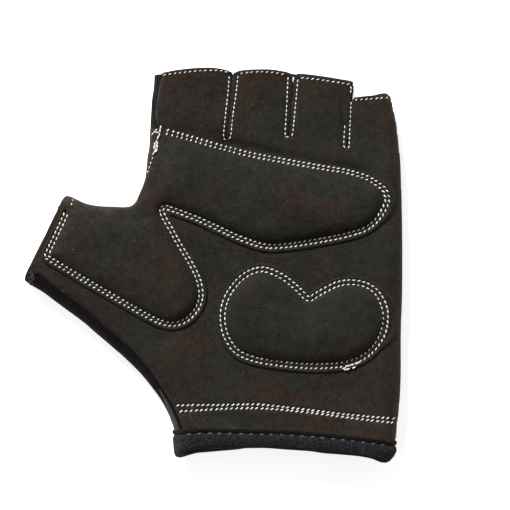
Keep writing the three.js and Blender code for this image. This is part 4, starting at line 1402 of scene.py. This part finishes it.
class GLOVE_OT_cuff(bpy.types.Operator):
    """Knitted binding folded over the wrist edge, and the short woven tape above it"""

    bl_idname = "glove.cuff"
    bl_label = "Cuff Binding and Tape"

    def execute(self, context):
        sizes, colours = context.scene.glove_sizes, context.scene.glove_colours
        thick, wall = sizes.binding / MM, sizes.cloth / MM
        radius = thick + wall / 2
        # Round the wrist: over the palm side from the thumb's side to the little finger's, and back under.
        left, right = smooth_line(THUMB_WRIST_SIDE, 0.4), smooth_line(LITTLE_FINGER_SIDE, 0.4)
        share = np.arange(BINDING_COLUMNS) / BINDING_COLUMNS
        on_palm = share < 0.5
        x_share = np.where(on_palm, share * 2, 2 - share * 2)
        x = BINDING_ENDS[0] + (BINDING_ENDS[1] - BINDING_ENDS[0]) * x_share
        top = table_at(BINDING_TOP, x)
        fold = np.where(on_palm, table_at(BINDING_FOLD_PALM, x), table_at(BINDING_FOLD_BACK, x))
        length = top - fold
        # The section's rings: distance up from the fold, and lift off the cloth
        section = [(length - drop, lift * thick) for drop, lift in BINDING_UPPER]
        straight = length - BINDING_UPPER[-1][0] - radius
        section += [(radius + straight * part, lift * thick) for part, lift in BINDING_LOWER]
        first_inside = len(section) + 3
        for angle in np.linspace(math.radians(80), math.radians(-80), 7):
            section.append((radius * (1 - math.cos(angle)), -wall / 2 + radius * math.sin(angle)))
        section += [(radius + (length - radius) * part, -wall - thick) for part in BINDING_INSIDE]
        section.append((radius + (length - radius), -wall - 0.1))
        rings, cuts = [], []
        for up, lift in section:
            y = fold + up
            at_left, at_right = np.interp(-y, -left[:, 1], left[:, 0]), np.interp(y, right[:, 1], right[:, 0])
            flat = np.column_stack([at_left + (at_right - at_left) * x_share, y])
            rings.append(np.where(on_palm[:, None], on_skin(flat, lift), on_skin(flat, lift, BACK)))
            cuts.append(np.column_stack([share * 230, top - y]))
        count = len(rings)
        faces = []
        for r in range(count):
            low, high = r * BINDING_COLUMNS, (r + 1) % count * BINDING_COLUMNS
            for i in range(BINDING_COLUMNS):
                j = (i + 1) % BINDING_COLUMNS
                faces.append((low + i, high + i, high + j, low + j))
        piece = from_lists("cuff_binding_knit", np.array(rings), faces)
        edit_all(piece, bpy.ops.mesh.normals_make_consistent, inside=False)
        keep_cut_places(piece, np.vstack(cuts))
        finish_piece(piece, "cuff_binding", "cuff_knit", binding_knit(colours.binding), shaded_inner_cloth())
        # The binding's inner rings take the near-black inside cloth, as painted shade in the wrist opening
        painted_shade_rings = [first_inside < r < count - 1 for r in range(count)]
        piece.data.polygons.foreach_set("material_index", np.repeat(painted_shade_rings, BINDING_COLUMNS).astype(np.int32))
        self.add_tape(colours.tape)
        return {"FINISHED"}

    def add_tape(self, colour):
        tape, shares = grid("edge_tape_twill", 40, 5)
        u, v = shares.T
        inner, outer = (smooth_line(EDGE_TAPE[key], 0.5) for key in ("inner", "outer"))
        a, b = (at_length(line, np.linspace(0, 1, len(line)), u) for line in (inner, outer))
        flat = flatten(a + (b - a) * v[:, None])
        put(tape, on_skin(flat, 0.35 - 0.3 * (np.abs(v - 0.5) * 2) ** 4))
        keep_cut_places(tape, np.column_stack([u * 20, v * 2]))
        outwards(tape)
        thicken(tape, 0.0005)
        material = twill(colour)
        finish_piece(tape, "edge_tape", "woven_tape", material, material)


class GLOVE_OT_stitching(bpy.types.Operator):
    """White stitch rows of the hems, slits, patches and wrist, and the binding's grey row"""

    bl_idname = "glove.stitching"
    bl_label = "Stitching"

    def execute(self, context):
        sizes, colours = context.scene.glove_sizes, context.scene.glove_colours
        step = sizes.stitch / MM
        white = thread("White thread", colours.thread, [c * 0.5 for c in colours.thread])
        grey = thread("Grey thread", (0.13, 0.13, 0.135), (0.04, 0.04, 0.045))
        plain, slim = stitch_shape(1.5, 0.6, 0.5), stitch_shape(1.3, 0.46, 0.42)

        def rows(lines, pitch, slant, seed, lift, lift_of=no_lift):
            return [
                row_of_stitches(line, pitch, slant, lift_of, seed + k, lift)
                for k, line in enumerate(lines)
            ]

        grip = rows((GRIP_ROW, inner_row(GRIP_ROW, GRIP_ROW_GAP)), step, GRIP_SLANT, 11, 0.12, grip_lift)
        sew("grip_patch_stitching", "pad_suede", grip, plain, white)
        tack = stitch_shape(1.6, 0.5, 0.4)
        sew("web_tack_stitching", "pad_suede", [single_stitches(WEB_TACK, lift=0.55)], tack, white)
        inner = inner_row(HEEL_ROW[::-1], HEEL_ROW_GAP, closed=True)[::-1]
        heel = rows(([*HEEL_ROW, HEEL_ROW[0]], closed_up(inner)), step, HEEL_SLANT, 14, 0.12, heel_lift)
        heel.append(single_stitches(HEEL_TACK, heel_lift, 0.25))
        sew("heel_patch_stitching", "pad_suede", heel, plain, white)
        fingers = rows(HEM_ROWS.values(), step, HEM_SLANT, 20, 0.1)
        fingers += rows(SLIT_ROWS.values(), step * 0.9, SLIT_SLANT, 30, 0.1)
        fingers += rows([WEB_ROW], step * 0.95, WEB_SLANT, 41, 0.3) + rows([WEB_TIP_ROW], 1.7, 0, 42, 0.2)
        sew("finger_stitching", "palm_suede", fingers, slim, white)
        wrist = rows(WRIST_ROWS.values(), step, WRIST_SLANT, 50, 0.1)
        sew("wrist_stitching", "palm_suede", wrist, plain, white)
        overcast = [single_stitches(THUMB_OVERCAST, lift=0.4, stretch=1.5)]
        sew("thumb_overcast_stitching", "palm_suede", overcast, stitch_shape(1.2, 0.22, 0.2), grey)
        line = [(x + 0.4, y - BINDING_ROW_DROP) for x, y in BINDING_TOP[1:]]
        binding = rows([line], 4.1, BINDING_SLANT, 60, 0.42 * sizes.binding / MM + 0.12)
        sew("binding_stitching", "cuff_knit", binding, stitch_shape(1.7, 0.5, 0.45), grey)
        return {"FINISHED"}


class GLOVE_OT_stage(bpy.types.Operator):
    """Pale floor, soft light from the upper left and the camera straight above"""

    bl_idname = "glove.stage"
    bl_label = "Stage"

    def execute(self, context):
        alone()
        bpy.ops.mesh.primitive_plane_add(size=6, location=(0, 0, 0))
        floor = bpy.context.object
        floor.name = "floor"
        floor.location.z = SOLID_BOX[0].z - 0.0004
        material, tree, surface = shader("Pale floor")
        fill(tree, surface, {
            "Base Color": (0.93, 0.93, 0.93, 1),
            "Roughness": 0.9,
            "Emission Color": (1, 1, 1, 1),
            "Emission Strength": 0.75,
        })
        floor.data.materials.append(material)

        world = bpy.data.worlds.new("Studio")
        world.use_nodes = True
        fill(world.node_tree, world.node_tree.nodes["Background"], {"Color": (1, 1, 1, 1), "Strength": 0.3})
        context.scene.world = world

        key = bpy.data.lights.new("key", "AREA")
        key.shape = "DISK"
        key.size = 1.1
        key.energy = 158.0
        lamp = bpy.data.objects.new("key", key)
        context.collection.objects.link(lamp)
        lamp.location = (-1.0, 2.1, 1.7)
        lamp.rotation_euler = (-lamp.location.normalized()).to_track_quat("-Z", "Y").to_euler()

        camera = bpy.data.cameras.new("camera")
        view = bpy.data.objects.new("camera", camera)
        context.collection.objects.link(view)
        distance, width = 1.6, 0.204
        view.location = (0.01655, 0.00415, distance)
        camera.sensor_width = 36
        camera.lens = 36 * (distance - 0.010) / width
        camera.clip_start, camera.clip_end = 0.05, 20
        context.scene.camera = view
        context.scene.view_settings.view_transform = "Standard"
        return {"FINISHED"}


OPERATORS = (
    GLOVE_OT_palm,
    GLOVE_OT_back,
    GLOVE_OT_thumb_side,
    GLOVE_OT_grip_patch,
    GLOVE_OT_heel_patch,
    GLOVE_OT_cuff,
    GLOVE_OT_stitching,
    GLOVE_OT_stage,
)


class GLOVE_PT_pieces(bpy.types.Panel):
    """Lists the glove's pieces and their sizes and colours"""

    bl_label = "Cycling Glove"
    bl_idname = "GLOVE_PT_pieces"
    bl_space_type = "VIEW_3D"
    bl_region_type = "UI"
    bl_category = "Glove"

    def draw(self, context):
        layout = self.layout
        for label, group in (("Sizes", context.scene.glove_sizes), ("Colours", context.scene.glove_colours)):
            box = layout.box()
            box.label(text=label)
            for key in group.bl_rna.properties.keys():
                if key not in ("rna_type", "name"):
                    box.prop(group, key)
        for operator in OPERATORS:
            layout.operator(operator.bl_idname)


def register():
    for kind in (GloveSizes, GloveColours, *OPERATORS, GLOVE_PT_pieces):
        bpy.utils.register_class(kind)
    bpy.types.Scene.glove_sizes = bpy.props.PointerProperty(type=GloveSizes)
    bpy.types.Scene.glove_colours = bpy.props.PointerProperty(type=GloveColours)


def unregister():
    del bpy.types.Scene.glove_colours
    del bpy.types.Scene.glove_sizes
    for kind in (GLOVE_PT_pieces, *reversed(OPERATORS), GloveColours, GloveSizes):
        bpy.utils.unregister_class(kind)


def main():
    register()
    bpy.ops.glove.palm()
    bpy.ops.glove.back()
    bpy.ops.glove.thumb_side()
    bpy.ops.glove.grip_patch()
    bpy.ops.glove.heel_patch()
    bpy.ops.glove.cuff()
    bpy.ops.glove.stitching()
    bpy.ops.glove.stage()
    alone()


if __name__ == "__main__":
    main()
